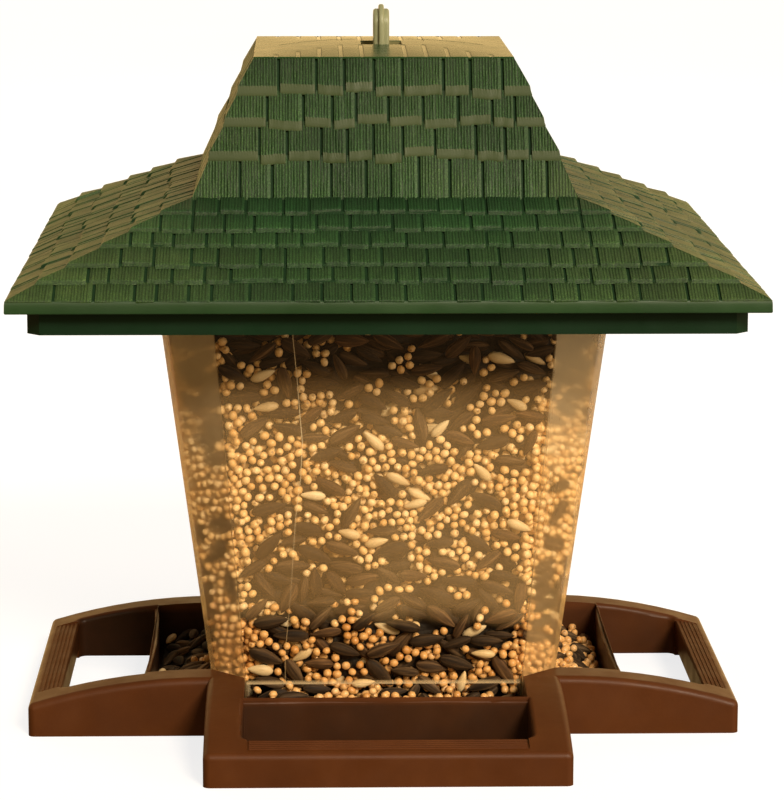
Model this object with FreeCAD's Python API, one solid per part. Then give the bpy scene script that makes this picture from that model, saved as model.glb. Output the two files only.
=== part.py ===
import FreeCAD, Part
import os
import math

# Lantern bird feeder. Millimetres, +Z up, origin at the centre of the base's
# underside, front towards -Y. Every moulding is its own solid.

V = FreeCAD.Vector

# ---------------------------------------------------------------- dimensions
# Roof, half-widths of its square plan and heights above the table
EAVE_HALF = 124.0            # eave edge
FASCIA_FLARE = 0.2           # draft of the fascia band
FASCIA_BOTTOM_Z = 158.8
CUPOLA_BOTTOM_HALF = 65.2    # foot of the steep upper roof
CUPOLA_BOTTOM_Z = 189.4
CUPOLA_TOP_HALF = 44.3
CUPOLA_TOP_Z = 235.0
CROWN_HALF = 15.0            # the flat top is very slightly crowned
CROWN_Z = 236.8
# (half-width, height) of each shingle course: end of its face, foot of its butt
CUPOLA_COURSES = [((49.7, 225.6), (50.3, 222.5)),
                  ((54.2, 215.3), (54.7, 212.4)),
                  ((59.3, 204.4), (59.8, 201.4))]
LOWER_COURSES = [((75.4, 186.3), (75.9, 184.6)),
                 ((85.1, 181.9), (85.6, 180.2)),
                 ((94.2, 177.8), (94.7, 176.1)),
                 ((104.8, 172.9), (105.3, 171.2)),
                 ((114.1, 168.7), (114.6, 167.0)),
                 ((123.5, 163.6), (124.0, 162.7))]
ROOF_WALL = 2.3
ROOF_SKIN_DROP = 2.6         # vertical wall of the lower slope
ROOF_TOP_UNDER_Z = 232.4     # underside of the flat top
POCKET_X = 14.3              # recess round the hanger
POCKET_Y = 16.4
POCKET_FLOOR_Z = 234.4
SLOT_X = 6.7                 # slot the hanger passes through
SLOT_Y = 14.8

# Soffit tray that closes the roof underneath
SKIRT_HALF = 117.6
SKIRT_CHAMFER = 4.2
SKIRT_BOTTOM_Z = 151.0
TRAY_FLANGE_BOTTOM_Z = 159.0
TRAY_FLANGE_TOP_Z = 160.8
TRAY_WALL = 2.0
COLLAR_CLEAR = 0.7           # collar to hopper rim
LEDGE_HALF = 76.0
LEDGE_Z = 165.1
LEDGE_T = 1.9
LEDGE_NOTCH_HALF_Y = 9.0

# Clear hopper: octagon with chamfered corners, widening upwards
HOPPER_SLOPE = 0.1286        # half-width per mm of height
HOPPER_HALF_REF = 60.46      # half-width and chamfer leg at the reference height
HOPPER_CHAMFER_REF = 12.25
HOPPER_CHAMFER_SLOPE = 0.0513
HOPPER_REF_Z = 19.4
HOPPER_WALL = 2.2
HOPPER_TOP_Z = 165.0
HOPPER_PANEL_FOOT_Z = 18.1   # lower edge of the four feeding panels
HOPPER_LEG_FOOT_Z = 12.0     # corner legs stand lower, on the base's posts
HOPPER_RIM_OUT = 2.6
HOPPER_RIM_T = 2.2
LEG_BOSS_XY = 50.0
LEG_BOSS_R = 4.0
LEG_BOSS_TOP_Z = 24.0
BRIDGE_BOSS_X = 73.6
BRIDGE_BOSS_R = 3.8
BRIDGE_BOSS_FOOT_Z = 153.0

# Base: a plus of four arms round the hub
ARM_END = 124.0
ARM_HALF = 61.5
HUB_Z = 20.6
ARCH_R = 209.0               # rims arch down from the hub to the perches
ARCH_START = 62.0
RIM_INNER = 48.5
PERCH_INNER = 113.0
BASE_WALL = 2.2
FLOOR_T = 2.4
DIVIDER_X = 83.6
DIVIDER_T = 1.6
DIVIDER_BOW = 1.3
DIVIDER_TOP_Z = 18.3
PERCH_TOP_INNER_Z = 13.1
PERCH_TOP_OUTER_Z = 11.9
PERCH_RIBS = 5
PERCH_RIB_PITCH = 1.5
PERCH_RIB_H = 0.35
PERCH_INNER_WALL_FOOT_Z = 4.0
DRAIN_W = 2.0
DRAIN_L = 10.0
RIM_ROUND = 2.4
RIM_ROUND_IN = 1.8

# Hanger: T-section ring on a round stem
EYE_R = 3.75
EYE_Z = 242.9
EYE_BAND_R = 5.35
EYE_BAND_W = 5.6
EYE_RIB_R = 6.9
EYE_RIB_W = 1.9
EYE_RIB_ROUND = 0.7
EYE_BAND_ROUND = 0.9
HANGER_FOOT_Z = 234.8
STEM_R = 2.95
STEM_END_Z = 153.3
BRIDGE_BORE_R = 3.02
STEM_COLLAR_R = 5.0
CLIP_GROOVE_R = 2.2

# Bridge across the hopper's mouth
BRIDGE_HALF_L = 80.0
BRIDGE_W = 14.0
BRIDGE_T = 2.4
BRIDGE_WEB_T = 3.0
BRIDGE_WEB_HALF_L = 72.5
BRIDGE_FOOT_Z = 157.6
HUB_R = 7.0
BRIDGE_HUB_TOP_Z = 173.0

# Screws
SCREW_R = 1.5
SCREW_HEAD_R = 3.0
SCREW_HEAD_T = 1.8

# Seed
SEED_TOP_Z = 149.0
SEED_GAP = 0.5


# ------------------------------------------------------------------- helpers
def square(w, z):
    return [V(-w, -w, z), V(w, -w, z), V(w, w, z), V(-w, w, z)]


def octagon(b, c, z):
    a = b - c
    return [V(-a, -b, z), V(a, -b, z), V(b, -a, z), V(b, a, z),
            V(a, b, z), V(-a, b, z), V(-b, a, z), V(-b, -a, z)]


def face(points):
    return Part.Face(Part.makePolygon(list(points) + [points[0]]))


def stack(rings):
    """Closed solid through a pile of parallel rings, bottom ring first."""
    n = len(rings[0])
    faces = [face(list(reversed(rings[0])))]
    for lo, hi in zip(rings[:-1], rings[1:]):
        for i in range(n):
            j = (i + 1) % n
            faces.append(face([lo[i], lo[j], hi[j], hi[i]]))
    faces.append(face(rings[-1]))
    solid = Part.makeSolid(Part.makeShell(faces))
    if solid.Volume < 0:
        solid.reverse()
    return solid


def box(x0, x1, y0, y1, z0, z1):
    return Part.makeBox(x1 - x0, y1 - y0, z1 - z0, V(x0, y0, z0))


def cyl(r, z0, z1, x=0.0, y=0.0):
    return Part.makeCylinder(r, z1 - z0, V(x, y, z0), V(0, 0, 1))


def spin(shape, quarter):
    s = shape.copy()
    s.rotate(V(0, 0, 0), V(0, 0, 1), 90.0 * quarter)
    return s


def around(shape):
    return [spin(shape, k) for k in range(4)]


def fuse(shapes):
    out = shapes[0]
    if len(shapes) > 1:
        out = out.multiFuse(shapes[1:])
    return out.removeSplitter()


def single(shape):
    """The one solid of a boolean result."""
    assert len(shape.Solids) == 1, len(shape.Solids)
    return shape.Solids[0]


def export(name, shape, count=1):
    solids = shape.Solids
    assert len(solids) == count, (name, len(solids))
    for s in solids:
        assert s.isValid() and s.Volume > 0, name
    out = solids[0] if count == 1 else Part.makeCompound(solids)
    out.exportStep("parts/%s.step" % name)
    b = shape.BoundBox
    print("%-20s %d solid  vol %9.0f  x %.1f..%.1f y %.1f..%.1f z %.1f..%.1f" % (
        name, count, shape.Volume, b.XMin, b.XMax, b.YMin, b.YMax, b.ZMin, b.ZMax))


def hopper_half(z):
    return HOPPER_HALF_REF + HOPPER_SLOPE * (z - HOPPER_REF_Z)


def hopper_chamfer(z):
    return HOPPER_CHAMFER_REF + HOPPER_CHAMFER_SLOPE * (z - HOPPER_REF_Z)


def hopper_ring(z, inset=0.0):
    # an inset moved equally on straight and chamfered sides
    b = hopper_half(z) - inset
    c = hopper_chamfer(z) - inset * (2.0 - math.sqrt(2.0))
    return octagon(b, c, z)


# ---------------------------------------------------------------- roof shell
def make_roof_shell():
    rings = [(EAVE_HALF + FASCIA_FLARE, FASCIA_BOTTOM_Z)]
    for (fw, fz), (bw, bz) in reversed(LOWER_COURSES):
        rings += [(bw, bz), (fw, fz)]
    rings.append((CUPOLA_BOTTOM_HALF, CUPOLA_BOTTOM_Z))
    for (fw, fz), (bw, bz) in reversed(CUPOLA_COURSES):
        rings += [(bw, bz), (fw, fz)]
    rings += [(CUPOLA_TOP_HALF, CUPOLA_TOP_Z), (CROWN_HALF, CROWN_Z)]
    outer = stack([square(w, z) for w, z in rings])

    slope = (CUPOLA_BOTTOM_Z - 162.7) / (EAVE_HALF - CUPOLA_BOTTOM_HALF)
    lip = EAVE_HALF - ROOF_WALL
    lip_z = CUPOLA_BOTTOM_Z - (lip - CUPOLA_BOTTOM_HALF) * slope - ROOF_SKIN_DROP
    neck = CUPOLA_BOTTOM_HALF - ROOF_WALL
    neck_z = CUPOLA_BOTTOM_Z - (neck - CUPOLA_BOTTOM_HALF) * slope - ROOF_SKIN_DROP
    steep = (CUPOLA_BOTTOM_HALF - CUPOLA_TOP_HALF) / (CUPOLA_TOP_Z - CUPOLA_BOTTOM_Z)
    top = CUPOLA_TOP_HALF + (CUPOLA_TOP_Z - ROOF_TOP_UNDER_Z) * steep - ROOF_WALL
    inner = stack([square(lip, FASCIA_BOTTOM_Z - 5.0), square(lip, lip_z),
                   square(neck, neck_z), square(top, ROOF_TOP_UNDER_Z)])
    shell = outer.cut(inner)

    pocket = box(-POCKET_X / 2, POCKET_X / 2, -POCKET_Y / 2, POCKET_Y / 2,
                 POCKET_FLOOR_Z, CROWN_Z + 5)
    slot = box(-SLOT_X / 2, SLOT_X / 2, -SLOT_Y / 2, SLOT_Y / 2,
               ROOF_TOP_UNDER_Z - 5, CROWN_Z + 5)
    return single(shell.cut(pocket).cut(slot))


# --------------------------------------------------------------- soffit tray
def make_soffit_tray():
    rim = hopper_half(HOPPER_TOP_Z) + HOPPER_RIM_OUT
    rim_c = hopper_chamfer(HOPPER_TOP_Z)
    hole = rim + COLLAR_CLEAR
    s, c = SKIRT_HALF, SKIRT_CHAMFER

    def prism(b, ch, z0, z1):
        return stack([octagon(b, ch, z0), octagon(b, ch, z1)])

    skirt = prism(s, c, SKIRT_BOTTOM_Z, TRAY_FLANGE_TOP_Z).cut(
        prism(s - TRAY_WALL, c, SKIRT_BOTTOM_Z + TRAY_WALL, TRAY_FLANGE_TOP_Z + 1))
    lip = EAVE_HALF - ROOF_WALL - 0.05
    flange = stack([square(lip, TRAY_FLANGE_BOTTOM_Z), square(lip, TRAY_FLANGE_TOP_Z)]).cut(
        prism(s - TRAY_WALL, c, TRAY_FLANGE_BOTTOM_Z - 1, TRAY_FLANGE_TOP_Z + 1))
    collar = prism(hole + TRAY_WALL, rim_c + 0.4, SKIRT_BOTTOM_Z, LEDGE_Z + LEDGE_T)
    ribs = []
    for k in range(4):
        for off in (-45.0, 45.0):
            ribs.append(spin(box(off - 0.9, off + 0.9, hole + 0.5, s - 0.5,
                                 SKIRT_BOTTOM_Z + 0.5, TRAY_FLANGE_BOTTOM_Z + 0.5), k))
    body = fuse([skirt, flange, collar] + ribs)
    body = body.cut(prism(hole, rim_c, SKIRT_BOTTOM_Z - 1, LEDGE_Z))
    body = body.cut(prism(LEDGE_HALF, rim_c - 2.0, LEDGE_Z - 1, LEDGE_Z + 10))
    for sx in (-1, 1):
        x0, x1 = sorted((sx * 70.0, sx * (rim + 0.5)))
        body = body.cut(box(x0, x1, -LEDGE_NOTCH_HALF_Y, LEDGE_NOTCH_HALF_Y,
                            LEDGE_Z - 1, LEDGE_Z + 10))
    return single(body)


# -------------------------------------------------------------------- hopper
def make_hopper():
    outer = stack([hopper_ring(HOPPER_LEG_FOOT_Z), hopper_ring(HOPPER_TOP_Z)])
    z = HOPPER_TOP_Z
    b, c = hopper_half(z), hopper_chamfer(z)
    rim = stack([octagon(b + HOPPER_RIM_OUT, c, z - HOPPER_RIM_T), octagon(b + HOPPER_RIM_OUT, c, z)])
    cavity = stack([hopper_ring(HOPPER_LEG_FOOT_Z - 1, HOPPER_WALL),
                    hopper_ring(HOPPER_TOP_Z + 1, HOPPER_WALL)])
    shell = outer.fuse(rim).cut(cavity)
    # the panels end above the tray floor so that seed runs out beneath them
    w = hopper_half(HOPPER_PANEL_FOOT_Z) - hopper_chamfer(HOPPER_PANEL_FOOT_Z) - 0.2
    for k in range(4):
        shell = shell.cut(spin(box(-w, w, -75, -45, HOPPER_LEG_FOOT_Z - 2, HOPPER_PANEL_FOOT_Z), k))
    # screw bosses inside the corner legs and under the bridge
    bosses = []
    for sx in (-1, 1):
        for sy in (-1, 1):
            web = box(-LEG_BOSS_R, LEG_BOSS_R, 0, 6.2, HOPPER_LEG_FOOT_Z, LEG_BOSS_TOP_Z)
            web.rotate(V(0, 0, 0), V(0, 0, 1), math.degrees(math.atan2(sy, sx)) - 90)
            web.translate(V(sx * LEG_BOSS_XY, sy * LEG_BOSS_XY, 0))
            boss = cyl(LEG_BOSS_R, HOPPER_LEG_FOOT_Z, LEG_BOSS_TOP_Z,
                       sx * LEG_BOSS_XY, sy * LEG_BOSS_XY)
            bosses += [web, boss]
        bosses.append(cyl(BRIDGE_BOSS_R, BRIDGE_BOSS_FOOT_Z, HOPPER_TOP_Z, sx * BRIDGE_BOSS_X, 0))
    bosses = [p.common(outer) for p in bosses]
    shell = fuse([shell] + bosses)
    for sx in (-1, 1):
        for sy in (-1, 1):
            shell = shell.cut(cyl(SCREW_R + 0.05, HOPPER_LEG_FOOT_Z - 1, LEG_BOSS_TOP_Z - 1.5,
                                  sx * LEG_BOSS_XY, sy * LEG_BOSS_XY))
        shell = shell.cut(cyl(SCREW_R + 0.05, BRIDGE_BOSS_FOOT_Z + 1.5, HOPPER_TOP_Z + 1,
                              sx * BRIDGE_BOSS_X, 0))
    return single(shell)


# ----------------------------------------------------------------- base tray
def arch_z(x):
    if abs(x) <= ARCH_START:
        return HUB_Z
    d = abs(x) - ARCH_START
    return HUB_Z - (ARCH_R - math.sqrt(ARCH_R ** 2 - d ** 2))


def arm_slab(half, end, drop, z0):
    """Both opposite arms as one arched slab along X."""
    zt = arch_z(end) - drop
    mid = 0.5 * (ARCH_START + end)
    zm = arch_z(mid) - drop
    zh = HUB_Z - drop
    p = [V(-end, -half, z0), V(end, -half, z0), V(end, -half, zt), V(ARCH_START, -half, zh),
         V(-ARCH_START, -half, zh), V(-end, -half, zt)]
    edges = [Part.makeLine(p[0], p[1]), Part.makeLine(p[1], p[2]),
             Part.Arc(p[2], V(mid, -half, zm), p[3]).toShape(),
             Part.makeLine(p[3], p[4]),
             Part.Arc(p[4], V(-mid, -half, zm), p[5]).toShape(),
             Part.makeLine(p[5], p[0])]
    return Part.Face(Part.Wire(edges)).extrude(V(0, 2 * half, 0))


def make_base_tray():
    slab = arm_slab(ARM_HALF, ARM_END, 0.0, 0.0)
    body = fuse([slab, spin(slab, 1)])

    # round every upper outer edge and the outer vertical corners
    edges = []
    for e in body.Edges:
        c = e.CenterOfMass
        lo, hi = e.BoundBox.ZMin, e.BoundBox.ZMax
        r = max(abs(c.x), abs(c.y))
        if lo > 5.0:
            if abs(abs(c.x) - ARM_HALF) < 0.6 or abs(abs(c.y) - ARM_HALF) < 0.6 or r > ARM_END - 0.6:
                edges.append(e)
        elif hi - lo > 8.0 and r > ARM_END - 0.6:
            edges.append(e)
    body = body.makeFillet(RIM_ROUND, edges)

    # open the hub and the arms from above, floor left in the hub and troughs
    def pocket(x0, x1, y, z0, z1, r):
        b = box(x0, x1, -y, y, z0, z1)
        sel = [e for e in b.Edges if abs(e.BoundBox.ZMax - e.BoundBox.ZMin) > 1.0
               and e.CenterOfMass.x > x1 - 0.5]
        return b.makeFillet(r, sel) if r else b

    cuts = []
    for k in range(4):
        cuts.append(spin(pocket(-1.0, DIVIDER_X - DIVIDER_T + 1.0, RIM_INNER, FLOOR_T, 40, 0), k))
        cuts.append(spin(pocket(DIVIDER_X - 0.5, PERCH_INNER, RIM_INNER, -5, 40, 3.0), k))
    for c in cuts:
        body = body.cut(c)
    # posts are cut back so that the hopper's corner legs stand on their ledges
    b = hopper_half(HUB_Z)
    reach = 2 * b - hopper_chamfer(HUB_Z) + 0.25
    ledge = stack([octagon(80.0, 160.0 - reach, HOPPER_LEG_FOOT_Z), octagon(80.0, 160.0 - reach, 40.0)])
    for sx in (-1, 1):
        for sy in (-1, 1):
            x0, x1 = sorted((sx * 40.0, sx * (ARM_HALF + 2)))
            y0, y1 = sorted((sy * 40.0, sy * (ARM_HALF + 2)))
            body = body.cut(ledge.common(box(x0, x1, y0, y1, HOPPER_LEG_FOOT_Z, 40)))

    # soften the inner edges of the rims over the openings
    edges = []
    for e in body.Edges:
        bb = e.BoundBox
        c = e.CenterOfMass
        ax, ay = abs(c.x), abs(c.y)
        if bb.ZMin < 9.0:
            continue
        long_rim = (abs(ay - RIM_INNER) < 0.05 and bb.YLength < 0.05 and bb.XLength > 15) or \
                   (abs(ax - RIM_INNER) < 0.05 and bb.XLength < 0.05 and bb.YLength > 15)
        if long_rim and max(ax, ay) > 84.0:
            edges.append(e)
    body = body.makeFillet(RIM_ROUND_IN, edges)

    # perches sit slightly below the rims and carry grip ribs
    for k in range(4):
        lo = [V(PERCH_INNER - 2, -RIM_INNER + 1.5, PERCH_TOP_INNER_Z + 0.3),
              V(PERCH_INNER + 8.2, -RIM_INNER + 1.5, PERCH_TOP_OUTER_Z),
              V(PERCH_INNER + 8.2, -RIM_INNER + 1.5, 25), V(PERCH_INNER - 2, -RIM_INNER + 1.5, 25)]
        body = body.cut(spin(face(lo).extrude(V(0, 2 * RIM_INNER - 3.0, 0)), k))
    ribs = []
    for i in range(PERCH_RIBS):
        x = PERCH_INNER + 0.9 + i * PERCH_RIB_PITCH
        z = PERCH_TOP_INNER_Z + (PERCH_TOP_OUTER_Z - PERCH_TOP_INNER_Z) * (x - PERCH_INNER) / 8.2
        y = RIM_INNER - 2.2
        tri = [V(x - 0.74, -y, z - 0.6), V(x + 0.74, -y, z - 0.6), V(x + 0.34, -y, z + PERCH_RIB_H), V(x - 0.34, -y, z + PERCH_RIB_H)]
        r = face(tri).extrude(V(0, 2 * y, 0))
        ribs += around(r)
    # hollow the rims and perches underneath
    wall = BASE_WALL
    hollows = []
    for k in range(4):
        for sy in (-1, 1):
            y0, y1 = sorted((sy * (RIM_INNER + wall), sy * (ARM_HALF - wall)))
            channel = arm_slab(ARM_HALF + 5, ARM_END - wall, 2.4, -5.0).common(
                box(ARM_HALF + wall, ARM_END - wall, y0, y1, -5, 40))
            hollows.append(spin(channel, k))
        h = PERCH_TOP_OUTER_Z - 2.6
        hollows.append(spin(box(PERCH_INNER + wall, ARM_END - wall, -ARM_HALF + wall, ARM_HALF - wall, -5, h), k))
        hollows.append(spin(box(PERCH_INNER - 1, PERCH_INNER + wall + 1, -RIM_INNER + 3.2, RIM_INNER - 3.2,
                                -5, PERCH_INNER_WALL_FOOT_Z), k))
    for h in hollows:
        body = body.cut(h)

    # thin bowed dividers between trough and opening
    parts = [body] + ribs
    x, y = DIVIDER_X, RIM_INNER + 0.4
    inner = [V(x - DIVIDER_T / 2, -y, 0), V(x - DIVIDER_T / 2 - DIVIDER_BOW, 0, 0), V(x - DIVIDER_T / 2, y, 0)]
    outer = [V(x + DIVIDER_T / 2, y, 0), V(x + DIVIDER_T / 2 - DIVIDER_BOW, 0, 0), V(x + DIVIDER_T / 2, -y, 0)]
    wire = Part.Wire([Part.Arc(*inner).toShape(), Part.makeLine(inner[2], outer[0]),
                      Part.Arc(*outer).toShape(), Part.makeLine(outer[2], inner[0])])
    wall_solid = Part.Face(wire).extrude(V(0, 0, DIVIDER_TOP_Z))
    top = [e for e in wall_solid.Edges if e.BoundBox.ZMin > DIVIDER_TOP_Z - 0.1 and e.Length > 20]
    wall_solid = wall_solid.makeFillet(0.7, top)
    parts += around(wall_solid)
    # pillars below the hopper's corner legs
    for sx in (-1, 1):
        for sy in (-1, 1):
            parts.append(cyl(5.6, 0.0, HOPPER_LEG_FOOT_Z, sx * LEG_BOSS_XY, sy * LEG_BOSS_XY))
    body = fuse(parts)
    for sx in (-1, 1):
        for sy in (-1, 1):
            x, y = sx * LEG_BOSS_XY, sy * LEG_BOSS_XY
            body = body.cut(cyl(SCREW_HEAD_R + 0.5, -1, 3.2, x, y))
            body = body.cut(cyl(SCREW_R + 0.2, -1, HOPPER_LEG_FOOT_Z + 1, x, y))
    # drain slots in the troughs
    for k in range(4):
        for yy in (-28.0, 0.0, 28.0):
            body = body.cut(spin(box(75.0, 75.0 + DRAIN_W, yy - DRAIN_L / 2, yy + DRAIN_L / 2, -1, 5), k))
    return single(body.removeSplitter())


# ------------------------------------------------------------ seed deflector
def make_seed_deflector():
    z0 = FLOOR_T
    outer = stack([square(40.0, z0), square(40.0, z0 + 1.6), square(4.0, z0 + 24.0)])
    inner = stack([square(38.2, z0 - 1), square(38.2, z0 + 0.4), square(3.0, z0 + 21.8)])
    return single(outer.cut(inner))


# -------------------------------------------------------------------- hanger
def make_hanger_loop():
    def plate(r, w, foot):
        c = V(-w / 2, 0, EYE_Z)
        ring = Part.makeCylinder(r, w, c, V(1, 0, 0))
        leg = box(-w / 2, w / 2, -r, r, foot, EYE_Z)
        return ring.fuse(leg).removeSplitter()

    def rounded(solid, w, r):
        # the outline's edges on both sides, not those of the foot
        outline = [e for e in solid.Edges if abs(abs(e.CenterOfMass.x) - w / 2) < 1e-4 and e.BoundBox.ZLength > 1.0]
        return solid.makeFillet(r, outline)

    rib = rounded(plate(EYE_RIB_R, EYE_RIB_W, HANGER_FOOT_Z), EYE_RIB_W, EYE_RIB_ROUND)
    band = rounded(plate(EYE_BAND_R, EYE_BAND_W, HANGER_FOOT_Z), EYE_BAND_W, EYE_BAND_ROUND)
    # the band is a wall round the outline, with the thin web between
    web_cut = []
    for sx in (-1, 1):
        x0, x1 = sorted((sx * EYE_RIB_W / 2, sx * (EYE_BAND_W / 2 + 1)))
        web_cut.append(box(x0, x1, -EYE_BAND_R + 1.6, EYE_BAND_R - 1.6, HANGER_FOOT_Z + 1.2, EYE_Z - 5.2))
    eye = Part.makeCylinder(EYE_R, EYE_BAND_W + 2, V(-EYE_BAND_W / 2 - 1, 0, EYE_Z), V(1, 0, 0))
    head = fuse([rib, band]).cut(eye)
    for c in web_cut:
        head = head.cut(c)
    stem = cyl(STEM_R, STEM_END_Z, HANGER_FOOT_Z + 0.2)
    collar = cyl(STEM_COLLAR_R, BRIDGE_HUB_TOP_Z + 0.1, BRIDGE_HUB_TOP_Z + 3.0)
    cone = Part.makeCone(STEM_COLLAR_R, STEM_R, 6.0, V(0, 0, BRIDGE_HUB_TOP_Z + 3.0), V(0, 0, 1))
    body = fuse([head, stem, collar, cone])
    groove = cyl(10.0, STEM_END_Z + 1.9, STEM_END_Z + 3.0).cut(cyl(CLIP_GROOVE_R, STEM_END_Z, STEM_END_Z + 5))
    return single(body.cut(groove))


def make_retaining_clip():
    z0, z1 = STEM_END_Z + 1.95, STEM_END_Z + 2.95
    ring = cyl(5.4, z0, z1).cut(cyl(CLIP_GROOVE_R + 0.05, z0 - 1, z1 + 1))
    mouth = box(0.0, 10.0, -1.6, 1.6, z0 - 1, z1 + 1)
    return single(ring.cut(mouth))


def make_hanger_washer():
    z0, z1 = STEM_END_Z + 3.05, BRIDGE_FOOT_Z - 0.1
    z0 = max(z0, z1 - 1.2)
    return single(cyl(6.2, z0, z1).cut(cyl(STEM_R + 0.06, z0 - 1, z1 + 1)))


def make_hanger_bridge():
    z0 = HOPPER_TOP_Z
    flange = box(-BRIDGE_HALF_L, BRIDGE_HALF_L, -BRIDGE_W / 2, BRIDGE_W / 2, z0, z0 + BRIDGE_T)
    sel = [e for e in flange.Edges if e.BoundBox.ZLength > 1.0]
    flange = flange.makeFillet(4.0, sel)
    h = BRIDGE_WEB_HALF_L - 4.0
    prof = [V(-h, -BRIDGE_WEB_T / 2, z0 + 0.5), V(-h, -BRIDGE_WEB_T / 2, z0 - 2.0),
            V(-30, -BRIDGE_WEB_T / 2, BRIDGE_FOOT_Z), V(30, -BRIDGE_WEB_T / 2, BRIDGE_FOOT_Z),
            V(h, -BRIDGE_WEB_T / 2, z0 - 2.0), V(h, -BRIDGE_WEB_T / 2, z0 + 0.5)]
    web = face(prof).extrude(V(0, BRIDGE_WEB_T, 0))
    up = [V(-34, -BRIDGE_WEB_T / 2, z0 + 2.0), V(34, -BRIDGE_WEB_T / 2, z0 + 2.0),
          V(5, -BRIDGE_WEB_T / 2, BRIDGE_HUB_TOP_Z - 0.5), V(-5, -BRIDGE_WEB_T / 2, BRIDGE_HUB_TOP_Z - 0.5)]
    gusset = face(up).extrude(V(0, BRIDGE_WEB_T, 0))
    hub = cyl(HUB_R, BRIDGE_FOOT_Z, BRIDGE_HUB_TOP_Z)
    body = fuse([flange, web, gusset, hub])
    body = body.cut(cyl(BRIDGE_BORE_R, BRIDGE_FOOT_Z - 1, BRIDGE_HUB_TOP_Z + 1))
    for sx in (-1, 1):
        body = body.cut(cyl(SCREW_R + 0.2, z0 - 1, z0 + BRIDGE_T + 1, sx * BRIDGE_BOSS_X, 0))
    return single(body)


# -------------------------------------------------------------------- screws
def screw(x, y, under_head_z, length, up):
    """Pan-head screw; up is +1 when it is driven upwards from below."""
    d = V(0, 0, up)
    at = V(x, y, under_head_z)
    shank = Part.makeCylinder(SCREW_R, length - 1.5, at, d)
    tip = Part.makeCone(SCREW_R, 0.4, 1.5, at + d * (length - 1.5), d)
    head = Part.makeCylinder(SCREW_HEAD_R, SCREW_HEAD_T, at - d * SCREW_HEAD_T, d)
    rim = [e for e in head.Edges if abs(e.CenterOfMass.z - (under_head_z - up * SCREW_HEAD_T)) < 0.01
           and e.Length > 10]
    head = head.makeFillet(0.9, rim)
    body = fuse([shank, tip, head])
    for a in (0, 90):
        bar = box(-1.7, 1.7, -0.4, 0.4, -0.9, 0.9)
        bar.rotate(V(0, 0, 0), V(0, 0, 1), a)
        bar.translate(V(x, y, under_head_z - up * SCREW_HEAD_T))
        body = body.cut(bar)
    return single(body)


def make_hopper_screws():
    return Part.makeCompound([screw(sx * LEG_BOSS_XY, sy * LEG_BOSS_XY, 3.2, 17.5, 1)
                              for sx in (-1, 1) for sy in (-1, 1)])


def make_bridge_screws():
    return Part.makeCompound([screw(sx * BRIDGE_BOSS_X, 0.0, HOPPER_TOP_Z + BRIDGE_T, 11.5, -1)
                              for sx in (-1, 1)])


# ---------------------------------------------------------------------- seed
def make_seed_fill(deflector_outer):
    inset = HOPPER_WALL + SEED_GAP

    def ring(z):
        b = hopper_half(z) - inset
        return octagon(b, hopper_chamfer(z) + 11.5, z)

    low = HOPPER_PANEL_FOOT_Z
    b = hopper_half(low) - inset - 0.2
    pile = stack([octagon(b, hopper_chamfer(low) + 11.5, FLOOR_T), octagon(b, hopper_chamfer(low) + 11.5, low),
                  ring(low + 0.01), ring(SEED_TOP_Z)])
    return single(pile.cut(deflector_outer))


def make_trough_seed(quarter):
    x0 = hopper_half(HOPPER_PANEL_FOOT_Z) - HOPPER_WALL - SEED_GAP + 0.1
    x1 = DIVIDER_X - DIVIDER_T / 2 - DIVIDER_BOW - 0.4
    y = RIM_INNER - 0.6
    c = 6.6
    xb = hopper_half(HOPPER_PANEL_FOOT_Z) + 0.6
    zt = HOPPER_PANEL_FOOT_Z - 1.2
    prof = [V(x0, -y, FLOOR_T), V(x1, -y, FLOOR_T), V(x1, -y, 8.0), V(xb + 4.0, -y, zt), V(x0, -y, zt)]
    wedge = face(prof).extrude(V(0, 2 * y, 0))
    # clear of the corner legs and their pillars
    for sy in (-1, 1):
        y0, y1 = sorted((sy * (y - c + 4.0), sy * (y + 1)))
        wedge = wedge.cut(box(x0 - 1, x0 + c, y0, y1, 0, 30))
    return spin(single(wedge), quarter)


def main():
    os.makedirs("parts", exist_ok=True)
    export("roof_shell", make_roof_shell())
    export("soffit_tray", make_soffit_tray())
    export("hopper", make_hopper())
    export("base_tray", make_base_tray())
    export("seed_deflector", make_seed_deflector())
    export("hanger_loop", make_hanger_loop())
    export("hanger_washer", make_hanger_washer())
    export("retaining_clip", make_retaining_clip())
    export("hanger_bridge", make_hanger_bridge())
    export("bridge_screws", make_bridge_screws(), 2)
    export("hopper_screws", make_hopper_screws(), 4)
    z0 = FLOOR_T
    solid_deflector = stack([square(40.0, z0 - 0.5), square(40.0, z0 + 1.6), square(4.0, z0 + 24.0)])
    export("seed_fill", make_seed_fill(solid_deflector))
    for k, name in enumerate(("right", "back", "left", "front")):
        export("trough_seed_%s" % name, make_trough_seed(k))


main()
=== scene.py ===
"""Lantern bird feeder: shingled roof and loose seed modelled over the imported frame, with materials, light and camera."""
import math

import bpy
import numpy as np
from mathutils import Matrix, Vector


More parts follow.
